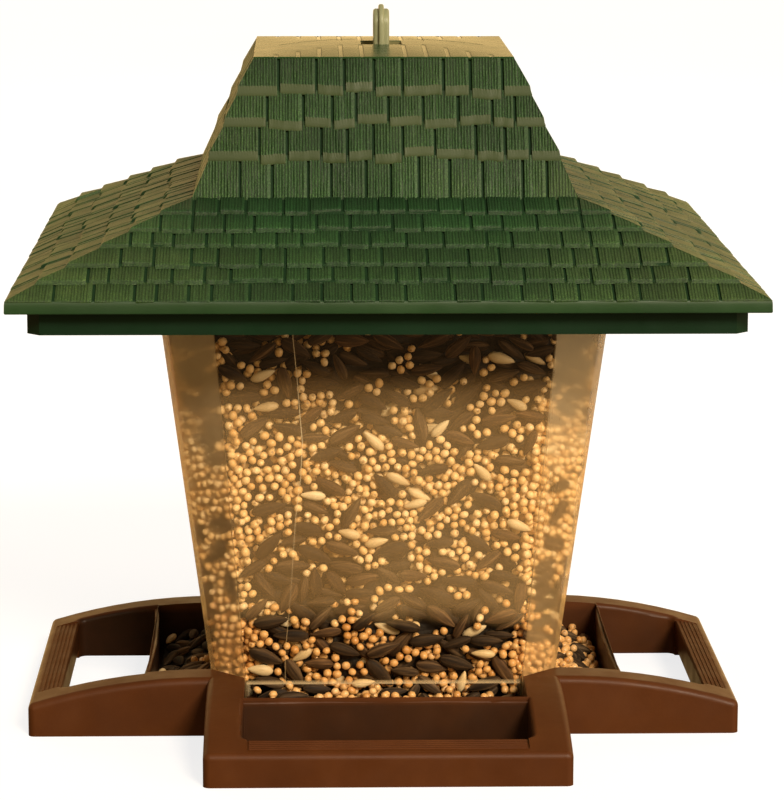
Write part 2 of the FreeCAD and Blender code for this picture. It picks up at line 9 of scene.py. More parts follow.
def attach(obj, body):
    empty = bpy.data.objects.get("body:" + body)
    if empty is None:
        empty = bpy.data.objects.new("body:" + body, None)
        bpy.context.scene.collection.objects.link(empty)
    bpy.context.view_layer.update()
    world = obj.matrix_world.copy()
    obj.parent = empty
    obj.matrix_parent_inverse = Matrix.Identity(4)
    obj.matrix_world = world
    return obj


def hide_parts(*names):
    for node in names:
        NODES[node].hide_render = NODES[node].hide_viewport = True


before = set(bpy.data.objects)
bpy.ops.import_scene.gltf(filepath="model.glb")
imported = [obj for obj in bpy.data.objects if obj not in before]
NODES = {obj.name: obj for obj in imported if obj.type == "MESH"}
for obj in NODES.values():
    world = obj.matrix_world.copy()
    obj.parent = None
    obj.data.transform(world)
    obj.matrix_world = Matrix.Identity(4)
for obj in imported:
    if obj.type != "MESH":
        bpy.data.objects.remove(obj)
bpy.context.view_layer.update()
MM = 0.001
scene = bpy.context.scene


# ---------------------------------------------------------------- mesh helpers
def build(name, verts, quads, tris=None, uv=None, index=None, sharp=None):
    """A mesh object from arrays in millimetres; quads come before triangles."""
    quads = np.asarray(quads, np.int64).reshape(-1, 4)
    tris = np.zeros((0, 3), np.int64) if tris is None else np.asarray(tris, np.int64).reshape(-1, 3)
    me = bpy.data.meshes.new(name)
    me.vertices.add(len(verts))
    me.vertices.foreach_set("co", (np.asarray(verts, float) * MM).astype(np.float32).ravel())
    loops = np.concatenate([quads.ravel(), tris.ravel()]).astype(np.int32)
    me.loops.add(len(loops))
    me.loops.foreach_set("vertex_index", loops)
    me.polygons.add(len(quads) + len(tris))
    start = np.concatenate([np.arange(len(quads)) * 4, len(quads) * 4 + np.arange(len(tris)) * 3])
    me.polygons.foreach_set("loop_start", start.astype(np.int32))
    if index is not None:
        me.polygons.foreach_set("material_index", np.asarray(index, np.int32))
    if uv is not None:
        for layer in ("SeedUV", "OFBake"):
            me.uv_layers.new(name=layer)
            me.uv_layers[layer].data.foreach_set("uv", np.asarray(uv, np.float32).ravel())
    me.polygons.foreach_set("use_smooth", np.ones(len(me.polygons), bool))
    me.update(calc_edges=True)
    me.validate()
    if sharp is not None:
        me.set_sharp_from_angle(angle=math.radians(sharp))
    ob = bpy.data.objects.new(name, me)
    scene.collection.objects.link(ob)
    return ob


class Pile:
    """Collects grids of quads."""

    def __init__(self):
        self.verts, self.quads, self.mats, self.tones, self.count = [], [], [], [], 0

    def grid(self, points, flip=False, mat=0, tone=1.0):
        points = np.asarray(points, float)
        r, c = points.shape[:2]
        m = np.broadcast_to(mat, (r - 1, c - 1)).ravel()
        i = np.arange(r * c).reshape(r, c)
        q = np.stack([i[:-1, :-1], i[1:, :-1], i[1:, 1:], i[:-1, 1:]], -1).reshape(-1, 4)
        p = points.reshape(-1, 3)
        a = np.cross(p[q[:, 2]] - p[q[:, 0]], p[q[:, 3]] - p[q[:, 1]])
        keep = np.linalg.norm(a, axis=1) > 1e-5
        q = q[keep]
        self.mats.append(m[keep])
        self.verts.append(p)
        self.tones.append(np.broadcast_to(tone, (r, c)).ravel())
        self.quads.append((q[:, ::-1] if flip else q) + self.count)
        self.count += len(p)

    def object(self, name, sharp=30):
        ob = build(name, np.concatenate(self.verts), np.concatenate(self.quads), index=np.concatenate(self.mats), sharp=sharp)
        tone = ob.data.attributes.new("tone", "FLOAT", "POINT")
        tone.data.foreach_set("value", np.concatenate(self.tones).astype(np.float32))
        return ob


def turn(points, k):
    """Quarter turns about Z: 0 front, 1 right, 2 back, 3 left."""
    p = np.asarray(points, float).copy()
    for _ in range(k % 4):
        p[..., 0], p[..., 1] = -p[..., 1].copy(), p[..., 0].copy()
    return p


def smooth_noise(rng, n, reach):
    """n values in about -1..1 that change slowly over reach steps."""
    knots = rng.uniform(-1, 1, max(2, int(n / reach) + 2))
    x = np.linspace(0, len(knots) - 1.001, n)
    i = x.astype(int)
    t = x - i
    t = t * t * (3 - 2 * t)
    return knots[i] * (1 - t) + knots[i + 1] * t


# ------------------------------------------------------------------------ roof
GAP = 1.0            # between shingles
PITCH = 1.0          # of the grain
FACE_ROWS = 9        # along each shingle
FACE, BUTT, PAINTED_GAP_SHADE, STEEP = 0, 1, 2, 3   # materials of the shingles
# each course: top of its face, end of its face, foot of its butt, as (half-width, height)
CUPOLA = [((44.3, 235.0), (49.7, 225.6), (50.3, 222.5)),
          ((50.3, 222.5), (54.2, 215.3), (54.7, 212.4)),
          ((54.7, 212.4), (59.3, 204.4), (59.8, 201.4)),
          ((59.8, 201.4), (65.2, 189.4), None)]
LOWER = [((65.2, 189.4), (75.4, 186.3), (75.9, 185.0)),
         ((75.9, 185.0), (85.1, 181.9), (85.6, 180.6)),
         ((85.6, 180.6), (94.2, 177.8), (94.7, 176.5)),
         ((94.7, 176.5), (104.8, 172.9), (105.3, 171.6)),
         ((105.3, 171.6), (114.1, 168.7), (114.6, 167.4)),
         ((114.6, 167.4), (123.5, 163.5), (124.0, 162.7))]
# places of the gaps along each course of the front
CUPOLA_GAPS = [[-36.0, -23.1, -13.6, -3.4, 6.2, 20.2, 29.4, 40.3],
               [-39.8, -27.6, -17.7, -9.6, 1.3, 13.2, 25.1, 36.7, 44.5],
               [-42.5, -33.1, -21.5, -12.7, -3.9, 6.2, 17.1, 31.0, 40.9, 49.4],
               [-49.0, -38.2, -26.0, -18.2, -6.4, 2.0, 11.5, 22.0, 33.2, 46.7, 54.9]]
# how much longer or shorter each shingle is than its course
CUPOLA_LENGTHS = [[1.2, -0.8, -0.3, -1.5, 0.1, -0.2, -0.1, 1.2, 0.5],
                  [0.1, 1.1, 0.1, 0.8, -1.1, -0.4, 0.6, -0.7, 0.1, -0.5],
                  [0.3, 1.2, -0.1, 0.7, -0.1, 0.9, -1.5, -0.8, 0.1, -0.3, -0.5],
                  None]
LOWER_GAPS = [[-64.4, -56.0, -46.9, -34.3, -25.7, -14.4, -2.6, 7.1, 17.6, 25.9, 33.8, 46.2, 58.0, 65.1],
              [-75.2, -64.5, -53.9, -44.0, -31.5, -23.2, -12.1, 2.1, 11.9, 28.3, 38.7, 50.3, 65.4, 76.1],
              [-84.8, -77.6, -70.6, -59.7, -51.1, -36.5, -28.3, -15.6, -5.6, 6.4, 18.8, 33.0, 41.3, 58.0, 67.6, 77.6],
              [-87.5, -76.7, -64.5, -55.7, -41.8, -33.5, -21.0, -12.8, -1.9, 13.0, 26.5, 36.7, 53.1, 61.2, 69.2, 83.1, 92.3],
              [-97.8, -91.0, -79.0, -70.5, -59.8, -51.3, -33.7, -26.0, -18.1, -7.1, 2.6, 10.3, 19.7, 33.3, 44.3, 57.7,
               66.2, 78.5, 86.5, 98.2],
              [-108.4, -95.5, -82.3, -75.2, -64.8, -57.4, -45.0, -31.2, -21.7, -12.1, -3.9, 5.4, 21.5, 30.3, 43.0,
               52.7, 61.6, 73.0, 81.5, 96.9, 107.2]]


def unit(v):
    v = np.asarray(v, float)
    return v / np.linalg.norm(v)


def shingle(pile, side, course, below, s0, s1, longer, rng, tuck, grain, sunk):
    """One shingle between gaps at s0 and s1. None at an end means that it runs to the mitre there."""
    a, b = np.array(course[0]), np.array(course[1])
    t = unit(b - a)
    n = np.array([-t[1], t[0]])
    start = a - tuck * t
    end = b + longer * t
    rows = []   # place, outward direction, share of the grain's depth, share of the ragged edge
    steep = course in CUPOLA
    arris = 0.3 if steep else 0.5
    length = np.linalg.norm(end - start) - arris
    for f in np.linspace(0, 1, FACE_ROWS):
        rows.append((start + f * length * t, n, 0.9 if f in (0, 1) else 1.0, max(0.0, f - 0.6) * 2.5))
    if course[2] is not None:
        t2 = unit(np.array(below[1]) - np.array(below[0])) if below else np.array([0.05, -1.0])
        foot = np.array(course[2]) + longer * (t2 if below else t)
        d = unit(foot - end)
        m = np.array([-d[1], d[0]])
        n2 = np.array([-t2[1], t2[0]])
        drop = np.linalg.norm(foot - end)
        rows.append((end + 0.33 * arris * d - 0.27 * arris * t, unit(n + m), 0.5, 1))
        rows.append((end + min(arris, 0.3 * drop) * d, m, 0.0, 1))
        rows.append((end + 0.62 * drop * d, m, 0.0, 1))
        rows.append((foot + 0.16 * m - 0.12 * d, m, 0.0, 1))
        rows.append((foot + 0.42 * t2 - 0.12 * n2, m, 0.0, 1))
    else:
        rows.append((end + 1.2 * t, n, 0.85, 0))
    widest = max(p[0] for p, *_ in rows) + 0.5
    lo = -widest if s0 is None else s0 + GAP / 2 + rng.uniform(-0.08, 0.08)
    hi = widest if s1 is None else s1 - GAP / 2 + rng.uniform(-0.08, 0.08)
    free = s0 is not None and s1 is not None

    # columns: side wall, rounded edge, grain; the colour is painted lighter on the rounded edges and the grain's ridge
    # tops and darker in its grooves, painted highlight and painted shade
    cols, depth, painted_grain_shading = [], [], []
    if s0 is not None:
        cols += [lo + 0.03, lo, lo + 0.07, lo + 0.2]
        depth += [sunk + 0.5, 0.2, 0.05, 0.0]
        painted_grain_shading += [1.0, 1.1, 1.2, 1.2]
    else:
        cols += [lo]
        depth += [0.0]
        painted_grain_shading += [1.0]
    x = lo + 0.32 + rng.uniform(0.05, 0.5)
    while x < hi - 0.75:
        p = PITCH * rng.uniform(0.92, 1.08)
        g = grain * rng.uniform(0.8, 1.2) * (0.5 if rng.random() < 0.06 else 1.0)
        cols += [x - 0.3 * p, x - 0.12 * p, x + 0.12 * p, x + 0.3 * p]
        depth += [0.0, g, g * rng.uniform(0.85, 1.0), 0.0]
        worn = rng.uniform(0.9, 1.1)
        strong = 0.35 if steep else 0.13
        painted_grain_shading += [(1 + strong) * worn, (1 - strong) * worn, (1 - strong) * worn, (1 + strong) * worn]
        x += p
    if s1 is not None:
        cols += [hi - 0.2, hi - 0.07, hi, hi - 0.03]
        depth += [0.0, 0.05, 0.2, sunk + 0.5]
        painted_grain_shading += [1.2, 1.2, 1.1, 1.0]
    else:
        cols += [hi]
        depth += [0.0]
        painted_grain_shading += [1.0]
    cols, depth, painted_grain_shading = np.array(cols), np.array(depth), np.array(painted_grain_shading)
    edge = np.zeros(len(cols), bool)
    if s0 is not None:
        edge[:4] = True
    if s1 is not None:
        edge[-4:] = True
    wobble = np.stack([smooth_noise(rng, len(rows), 3) * 0.08 for _ in cols], 1)
    # all four columns of one groove wander together
    grain = np.flatnonzero(~edge)
    for k in range(len(grain) // 4):
        wobble[:, grain[4 * k:4 * k + 4]] = wobble[:, grain[4 * k]][:, None]
    wobble[:, edge] = 0
    ragged = np.zeros(len(cols))
    lift = tilt = 0.0
    if free:
        if course is not LOWER[-1]:
            ragged = smooth_noise(rng, len(cols), 9) * 0.2 + rng.uniform(-0.35, 0.35) * (2 * (cols - lo) / (hi - lo) - 1)
        lift = rng.uniform(-0.06, 0.06) if steep else rng.uniform(-0.12, 0.12)
        tilt = rng.uniform(-0.08, 0.08) if steep else rng.uniform(-0.3, 0.3)
        if not steep and side in (1, 3):       # on the sides each shingle's front edge stands proud
            tilt = rng.uniform(0.05, 0.25) * (1 if side == 3 else -1)
    out = np.zeros((len(rows), len(cols), 3))
    for i, (p, nn, g, rag) in enumerate(rows):
        s = cols + wobble[i]
        d = np.where(edge, depth, depth * g * rng.uniform(0.6, 1.15, len(cols)))
        limit = p[0]
        at = np.zeros(len(cols), bool)
        if s0 is None:
            at |= s < -limit
            s = np.maximum(s, -limit)
        if s1 is None:
            at |= s > limit
            s = np.minimum(s, limit)
        d = np.where(at, 0.0, d - lift - tilt * (s - 0.5 * (lo + hi)) / (hi - lo) if free else d)
        w = p[0] - d * nn[0] + ragged * rag * t[0]
        z = p[1] - d * nn[1] + ragged * rag * t[1]
        out[i] = np.stack([s, -w, z], -1)
    kinds = np.full((len(rows) - 1, len(cols) - 1), STEEP if steep and side % 2 == 0 else FACE)
    if course is not LOWER[-1]:
        kinds[FACE_ROWS + (0 if steep else 1):] = BUTT
    # the side walls of the gaps get the painted gap shade
    if s0 is not None:
        kinds[:, 0] = PAINTED_GAP_SHADE
    if s1 is not None:
        kinds[:, -1] = PAINTED_GAP_SHADE
    # painted shade: each face a little darker at its top, under the butts above, the lower roof's butts darker still
    # and the first lower course under the cupola darker; painted light: the lowest cupola course lighter; and no two
    # shingles alike
    f = np.clip(np.arange(len(rows)) / (FACE_ROWS - 1.0), 0, 1)
    tone = ((0.76 + 0.26 * f ** 0.6) if steep else (0.62 + 0.46 * f ** 0.6)) * rng.uniform(0.9, 1.1)
    if not steep:
        tone[FACE_ROWS + 1:] *= 0.8
    if course is CUPOLA[-1]:
        tone *= 1.14
    if course is LOWER[0]:
        tone *= 0.88
    pile.grid(turn(out, side), mat=kinds, tone=tone[:, None] * painted_grain_shading[None, :])


def course_gaps(gaps, side):
    """The same courses on every side, mirrored or moved so that no two neighbours match."""
    if side == 0:
        return list(gaps)
    if side == 2:
        return sorted(-g for g in gaps)
    k = 2.3 if side == 1 else -2.9
    return [g * (0.985 if side == 1 else 0.975) + k * math.cos(3.0 * i + side) for i, g in enumerate(gaps)]


def lay(courses, gaps, lengths, side, rng, last_below, grain, sunk):
    pile = Pile()
    for i, course in enumerate(courses):
        below = courses[i + 1] if i + 1 < len(courses) else last_below
        g = course_gaps(gaps[i], side)
        ends = [None] + g + [None]
        for k in range(len(ends) - 1):
            longer = 0.0
            if 0 < k < len(ends) - 2:
                longer = lengths[i][k] if side == 0 and lengths and lengths[i] else rng.uniform(-1.05, 1.05)
                if course[2] is None:
                    longer = 0.0
                elif course is LOWER[-1]:
                    longer = 0.0
            shingle(pile, side, course, below, ends[k], ends[k + 1], longer, rng, 1.7 if i else 0.0, grain, sunk)
    return pile


SUNK = (1.35, 0.75)   # depth of the gaps: cupola, lower roof
roof_pieces = []
cupola = Pile()
for side in range(4):
    rng = np.random.default_rng(40 + side)
    part = lay(CUPOLA, CUPOLA_GAPS, CUPOLA_LENGTHS, side, rng, LOWER[0], 0.03 if side % 2 else 0.26, SUNK[0])
    cupola.quads += [q + cupola.count for q in part.quads]
    cupola.verts += part.verts
    cupola.tones += part.tones
    cupola.mats += part.mats
    cupola.count += part.count
roof_pieces.append(cupola.object("roof_cupola_shingles"))
for side, label in enumerate(("front", "right", "back", "left")):
    rng = np.random.default_rng(60 + side)
    roof_pieces.append(lay(LOWER, LOWER_GAPS, None, side, rng, None, 0.012 if side % 2 else 0.22, SUNK[1]).object("roof_shingles_" + label))


def square_ring(w, z):
    return [(-w, -w, z), (w, -w, z), (w, w, z), (-w, w, z)]


def top_z(x, y):
    """The flat top is a shallow pillow."""
    f = 1 - np.abs(np.asarray(x, float) / 44.3) ** 2.4
    g = 1 - np.abs(np.asarray(y, float) / 44.3) ** 2.4
    return 235.0 + 1.3 * np.clip(f, 0, 1) * np.clip(g, 0, 1)


TOP, RECESS_PAINTED_LIGHT, BRIGHT, LINE = 1, 3, 4, 5
body = Pile()
rings = []
for course in CUPOLA + LOWER:
    a, b = np.array(course[0]), np.array(course[1])
    t = unit(b - a)
    n = np.array([-t[1], t[0]])
    sunk = SUNK[0] if course in CUPOLA else SUNK[1]
    rings.append(tuple(a - sunk * n - (0.4 * t if rings else 0)))
    rings.append(tuple(b - sunk * n))
deep = len(rings) - 1
rings += [(123.1, 163.1), (123.6, 163.05), (123.95, 162.85), (124.1, 162.4), (124.16, 161.6), (124.22, 159.4),
          (124.12, 159.0), (123.8, 158.82), (121.75, 158.8), (121.7, 158.95), (121.7, 161.14), (62.9, 187.84),
          (43.19, 232.4)]
loop = np.array([square_ring(w, z) + square_ring(w, z)[:1] for w, z in rings])
# the floors of the gaps under the courses get the painted gap shade
body.grid(loop, mat=np.array([PAINTED_GAP_SHADE if i < deep else FACE for i in range(len(rings) - 1)])[:, None])
# flat top: shallow channels run in from the front and back edges, and a recess with a slot takes the hanger
CHANNELS = [(x, 9.2 if abs(x) < 8 else 1.3 * abs(x) - 10.3) for x in (-36.8, -29.3, -22.0, -14.6, -7.45, 7.45, 14.6, 22.0, 29.3, 36.8)]
HALF, CUT, SLOPE = 0.9, 0.2, 1.0
PX, PY = 7.45, 8.5
POCKET_Z, UNDER_Z = 234.4, 232.4
xs = {-44.3, 44.3, -PX, PX} | set(np.linspace(-44.3, 44.3, 30).round(3)) | set(np.linspace(-PX, PX, 11).round(3))
ys = {-44.3, 44.3, -PY, PY} | set(np.linspace(-44.3, 44.3, 30).round(3)) | set(np.linspace(-PY, PY, 13).round(3))
for x, end in CHANNELS:
    xs |= {round(x + f * HALF, 3) for f in (-1, -0.75, -0.4, 0, 0.3, 0.62, 1)}
    ys |= {round(s * end + e * SLOPE, 3) for s in (-1, 1) for e in (-1, 1)}
xs, ys = np.array(sorted(xs)), np.array(sorted(ys))
X, Y = np.meshgrid(xs, ys)
Z = top_z(X, Y)
for x, end in CHANNELS:
    across = np.clip(1 - ((X - x) / HALF) ** 2, 0, 1)
    along = np.clip((np.abs(Y) - end + SLOPE) / (2 * SLOPE), 0, 1)
    Z = Z - CUT * across * along
top = np.stack([X, Y, Z], -1)
# the channels are polished along their middle and duller at both edges, where an olive colour of their own draws the
# channel walls as painted shade lines
mx, my = (xs[1:] + xs[:-1]) / 2, (ys[1:] + ys[:-1]) / 2
top_kind = np.full((len(my), len(mx)), TOP)
for x, end in CHANNELS:
    top_kind[np.ix_(np.abs(my) > end, np.abs(mx - x) < HALF)] = LINE
    top_kind[np.ix_(np.abs(my) > end, np.abs(mx - x) < 0.66 * HALF)] = BRIGHT
i0, i1 = (int(np.flatnonzero(ys == v)[0]) for v in (-PY, PY))
j0, j1 = (int(np.flatnonzero(xs == v)[0]) for v in (-PX, PX))
for r, c in (((0, i0), (0, len(xs) - 1)), ((i1, len(ys) - 1), (0, len(xs) - 1)), ((i0, i1), (0, j0)), ((i0, i1), (j1, len(xs) - 1))):
    body.grid(top[r[0]:r[1] + 1, c[0]:c[1] + 1], flip=True, mat=top_kind[r[0]:r[1], c[0]:c[1]])
rim = [top[i0, j] for j in range(j0, j1)] + [top[i, j1] for i in range(i0, i1)] + \
      [top[i1, j] for j in range(j1, j0, -1)] + [top[i, j0] for i in range(i1, i0, -1)]
rim = np.array(rim + rim[:1])


def shrink(p, hx, hy, z):
    q = p.copy()
    q[:, 0] = p[:, 0] * hx / PX
    q[:, 1] = p[:, 1] * hy / PY
    if z is not None:
        q[:, 2] = z
    return q


walls = [rim, shrink(rim, 7.25, 8.3, None) - [0, 0, 0.07], shrink(rim, 7.15, 8.2, None) - [0, 0, 0.3],
         shrink(rim, 7.1, 8.15, POCKET_Z + 0.12), shrink(rim, 6.95, 8.0, POCKET_Z),
         shrink(rim, 3.5, 7.55, POCKET_Z), shrink(rim, 3.37, 7.42, POCKET_Z - 0.12),
         shrink(rim, 3.35, 7.4, UNDER_Z), shrink(rim, 43.19, 43.19, UNDER_Z)]
# the underside reaches the inner walls as a square
for p in walls[-1]:
    p[:2] *= 43.19 / max(abs(p[0]), abs(p[1]))
# the walls of the hanger's recess get the painted light
body.grid(np.array(walls), flip=True, mat=np.array([TOP, TOP, RECESS_PAINTED_LIGHT, RECESS_PAINTED_LIGHT, RECESS_PAINTED_LIGHT, RECESS_PAINTED_LIGHT, FACE, FACE])[:, None])
# edge of the flat top, turned down over the first course and notched where the channels run out
LIP = ((44.3, 0.0), (44.42, -0.07), (44.56, -0.28), (44.5, -0.7), (43.6, -1.0))
for k, line in enumerate((top[0], top[:, -1], top[-1, ::-1], top[::-1, 0])):
    rows = []
    for h, drop in LIP:
        p = line * [h / 44.3, h / 44.3, 1]
        p[:, 2] += drop
        rows.append(p)
    body.grid(np.array(rows), mat=TOP)
# a fine raised line curves behind the hanger
arc = np.linspace(-36, 36, 60)
arc_y = 18.5 - 20.0 * (np.abs(arc) / 36) ** 2.2
away = np.abs(arc) > 8.6
for part in (away & (arc < 0), away & (arc > 0)):
    x, y = arc[part], arc_y[part]
    strip = []
    for dy, h in ((0.6, -0.04), (0.3, 0.05), (-0.3, 0.05), (-0.6, -0.04)):
        strip.append(np.stack([x, y + dy, top_z(x, y + dy) + h], -1))
    body.grid(np.array(strip), mat=TOP)
roof_pieces.append(body.object("roof_body", sharp=30))


# ----------------------------------------------------------------------- seed
CELLS = {"sunflower": (8, 4, 0.0, 0.5), "millet": (16, 4, 0.5, 0.25), "heart": (8, 2, 0.75, 0.25)}


def seed_form(kind, rings, around):
    """A seed lying along X: half-lengths of 1 along X, Y and Z before scaling."""
    verts, place = [], []
    for i in range(rings + 1):
        f = i / rings
        x = -math.cos(math.pi * f)
        if kind == "sunflower":      # pointed at one end, round at the other
            r = 0.966 * (1 + x) ** 0.5 * (1 - x) ** 0.8
        elif kind == "heart":
            r = max(0.0, 1 - abs(x) ** 2.0) ** 0.6 * (1 - 0.34 * x)
        else:
            r = math.sqrt(max(0.0, 1 - x * x))
        place.append((x, r))
    for x, r in place[1:-1]:
        for j in range(around):
            a = 2 * math.pi * j / around
            y, z = math.cos(a), math.sin(a)
            if kind == "sunflower":  # a lens across, with an edge along each side
                z = math.copysign(abs(z) ** 0.9, z)
            verts.append((x, r * y, r * z))
    base = len(verts)
    verts += [(-1, 0, 0), (1, 0, 0)]
    quads, tris, uq, ut = [], [], [], []
    for i in range(rings - 2):
        for j in range(around):
            k = (j + 1) % around
            quads.append((i * around + j, (i + 1) * around + j, (i + 1) * around + k, i * around + k))
            uq += [(j / around, (i + 1) / rings), (j / around, (i + 2) / rings),
                   ((j + 1) / around, (i + 2) / rings), ((j + 1) / around, (i + 1) / rings)]
    last = (rings - 2) * around
    for j in range(around):
        k = (j + 1) % around
        tris.append((base, j, k))
        ut += [((j + 0.5) / around, 0), (j / around, 1 / rings), ((j + 1) / around, 1 / rings)]
        tris.append((base + 1, last + k, last + j))
        ut += [((j + 0.5) / around, 1), ((j + 1) / around, 1 - 1 / rings), (j / around, 1 - 1 / rings)]
    v = np.array(verts, float)
    q, t = np.array(quads), np.array(tris)
    # outward faces
    c = np.cross(v[q[:, 1]] - v[q[:, 0]], v[q[:, 2]] - v[q[:, 0]])
    uq, ut = np.array(uq, float).reshape(-1, 4, 2), np.array(ut, float).reshape(-1, 3, 2)
    if (c * v[q].mean(1)).sum() < 0:
        q, uq = q[:, ::-1], uq[:, ::-1]
    c = np.cross(v[t[:, 1]] - v[t[:, 0]], v[t[:, 2]] - v[t[:, 0]])
    if (c * v[t].mean(1)).sum() < 0:
        t, ut = t[:, ::-1], ut[:, ::-1]
    return v, q, t, uq, ut


FORMS = {"sunflower": seed_form("sunflower", 10, 10), "millet": seed_form("millet", 5, 8), "heart": seed_form("heart", 7, 8)}
KINDS = list(FORMS)


def sizes(kind, rng):
    """Half-lengths of one seed."""
    if kind == "sunflower":
        length = rng.uniform(4.9, 6.5)
        return length, length * rng.uniform(0.33, 0.43), rng.uniform(1.4, 1.85)
    if kind == "heart":
        length = rng.uniform(3.8, 5.0)
        return length, length * rng.uniform(0.36, 0.46), rng.uniform(1.2, 1.6)
    r = rng.uniform(1.4, 1.66)
    return r * rng.uniform(0.98, 1.1), r * rng.uniform(0.88, 1.0), r * rng.uniform(0.84, 0.98)


class Bed:
    """Seeds laid one after another on a surface, each settling where it comes lowest."""

    STEP = 0.3

    def __init__(self, origin, eu, ev, u0, u1, v0, v1, inside, rng):
        self.o, self.eu, self.ev = np.array(origin, float), unit(eu), unit(ev)
        self.en = np.cross(self.eu, self.ev)
        self.u0, self.v0 = u0 - 8, v0 - 8
        self.h = np.zeros((int((u1 - u0 + 16) / self.STEP) + 2, int((v1 - v0 + 16) / self.STEP) + 2))
        self.box = (u0, u1, v0, v1)
        self.inside, self.rng, self.seeds = inside, rng, []

    def rest(self, u, v, phi, a, b, t):
        s = self.STEP
        i0, i1 = int((u - a - self.u0) / s), int((u + a - self.u0) / s) + 2
        j0, j1 = int((v - a - self.v0) / s), int((v + a - self.v0) / s) + 2
        du = (self.u0 + s * np.arange(i0, i1) - u)[:, None]
        dv = (self.v0 + s * np.arange(j0, j1) - v)[None, :]
        c, k = math.cos(phi), math.sin(phi)
        q = 1 - ((du * c + dv * k) / a) ** 2 - ((dv * c - du * k) / b) ** 2
        m = q > 0
        under = t * np.sqrt(q[m])
        patch = self.h[i0:i1, j0:j1]
        return (patch[m] + under).max(), patch, m, under

    def drop(self, kind, at, tries, deepest, spread, turn_by, beside=None):
        rng = self.rng
        a, b, t = sizes(kind, rng)
        best = None
        for _ in range(tries):
            u, v = at[0] + rng.uniform(-spread, spread), at[1] + rng.uniform(-spread, spread)
            if beside:              # touching one that is there already
                bu, bv, br = beside[int(rng.integers(len(beside)))]
                way = rng.uniform(0, 2 * math.pi)
                u, v = bu + (br + a) * math.cos(way), bv + (br + a) * math.sin(way)
            phi = turn_by(rng)
            c, k = math.cos(phi), math.sin(phi)
            if not all(self.inside(u + x * c - y * k, v + x * k + y * c) for x, y in
                       ((a, 0), (-a, 0), (0, b), (0, -b), (0.6 * a, 0.75 * b), (0.6 * a, -0.75 * b), (-0.6 * a, 0.75 * b), (-0.6 * a, -0.75 * b))):
                continue
            h, patch, m, under = self.rest(u, v, phi, a, b, t)
            if best is None or h < best[0]:
                best = (h, patch, m, under, u, v, phi)
        if best is None or best[0] + t > deepest:
            return None
        h, patch, m, under, u, v, phi = best
        patch[m] = np.maximum(patch[m], h + under)
        slack = max(0.0, h - t - 0.1)
        tilt = min(0.35, slack / a * 0.8) * rng.uniform(-1, 1)
        roll = min(0.5, slack / b * 0.8) * rng.uniform(-1, 1)
        x = math.cos(phi) * self.eu + math.sin(phi) * self.ev
        y = np.cross(self.en, x)
        x2 = math.cos(tilt) * x + math.sin(tilt) * self.en
        z2 = -math.sin(tilt) * x + math.cos(tilt) * self.en
        y3 = math.cos(roll) * y + math.sin(roll) * z2
        z3 = -math.sin(roll) * y + math.cos(roll) * z2
        if kind == "millet":        # the small round ones lie any way up
            x2, y3, z3 = np.linalg.qr(rng.normal(size=(3, 3)))[0]
            if np.dot(np.cross(x2, y3), z3) < 0:
                z3 = -z3
        if rng.random() < 0.5:
            x2, y3 = -x2, -y3
        place = self.o + u * self.eu + v * self.ev + h * self.en
        self.seeds.append((kind, np.stack([x2 * a, y3 * b, z3 * t]), place))
        return u, v, a

    def fill(self, number, mix, deepest, turn_by, only=None):
        u0, u1, v0, v1 = self.box
        for _ in range(number):
            at = self.rng.uniform(u0, u1), self.rng.uniform(v0, v1)
            if not self.inside(*at):
                continue
            share = mix(*at)
            kind = KINDS[int(self.rng.choice(3, p=np.array(share) / sum(share)))]
            if only is not None and kind not in only:
                continue
            if kind == "millet":    # the small ones run together
                together = []
                loose = self.rng.random() < 0.3
                for _ in range(int(self.rng.integers(3, 10))):
                    one = self.drop(kind, at, 6, deepest, 3.0, turn_by, None if loose else together)
                    if one:
                        together.append(one)
            else:
                self.drop(kind, at, 5, deepest, 4.0, turn_by)

    def pack_against(self, scale, mix, turn_by, behind=None):
        """Long seeds settle against the wall first, millet runs into what they leave, more long seeds close the back."""
        self.fill(int(980 * scale), mix, 4.6, turn_by, ("sunflower", "heart"))
        self.fill(int(1300 * scale), mix, 3.8, turn_by, ("millet",))
        self.fill(int(750 * scale), behind or (lambda u, v: (0.94, 0.0, 0.02)), 5.6, turn_by)
        self.fill(int(520 * scale), mix, 8.0, turn_by)


def seed_object(name, beds, materials, seed):
    rng = np.random.default_rng(seed)
    verts, quads, tris, uq, ut, mq, mt, count = [], [], [], [], [], [], [], 0
    for kind in KINDS:
        some = [s for b in beds for s in b.seeds if s[0] == kind]
        if not some:
            continue
        v, q, t, cq, ct = FORMS[kind]
        frames = np.stack([s[1] for s in some])
        places = np.stack([s[2] for s in some])
        verts.append((np.einsum("vi,sij->svj", v, frames) + places[:, None]).reshape(-1, 3))
        base = count + np.arange(len(some))[:, None, None] * len(v)
        quads.append((q[None] + base).reshape(-1, 4))
        tris.append((t[None] + base).reshape(-1, 3))
        nx, ny, low, tall = CELLS[kind]
        cell = rng.integers(0 if kind == "sunflower" else nx, nx * ny, len(some))
        if kind != "sunflower":     # the first row of cells is for seed that lies at the foot, which the millet and heart materials paint darker as painted shade
            foot = rng.random(len(some)) < np.clip((50 - places[:, 2]) / 14, 0, 1)
            cell[foot] %= nx
        corner = np.stack([(cell % nx) / nx, low + (cell // nx) / ny * tall], -1)
        size = np.array([1 / nx, tall / ny])
        inner = lambda c: corner[:, None, None, :] + size * (0.04 + 0.92 * c[None])
        uq.append(inner(cq).reshape(-1, 2))
        ut.append(inner(ct).reshape(-1, 2))
        mq += [KINDS.index(kind)] * (len(some) * len(q))
        mt += [KINDS.index(kind)] * (len(some) * len(t))
        count += len(some) * len(v)
    ob = build(name, np.concatenate(verts), np.concatenate(quads), np.concatenate(tris),
               np.concatenate(uq + ut), mq + mt)
    for m in materials:
        ob.data.materials.append(m)
    return ob


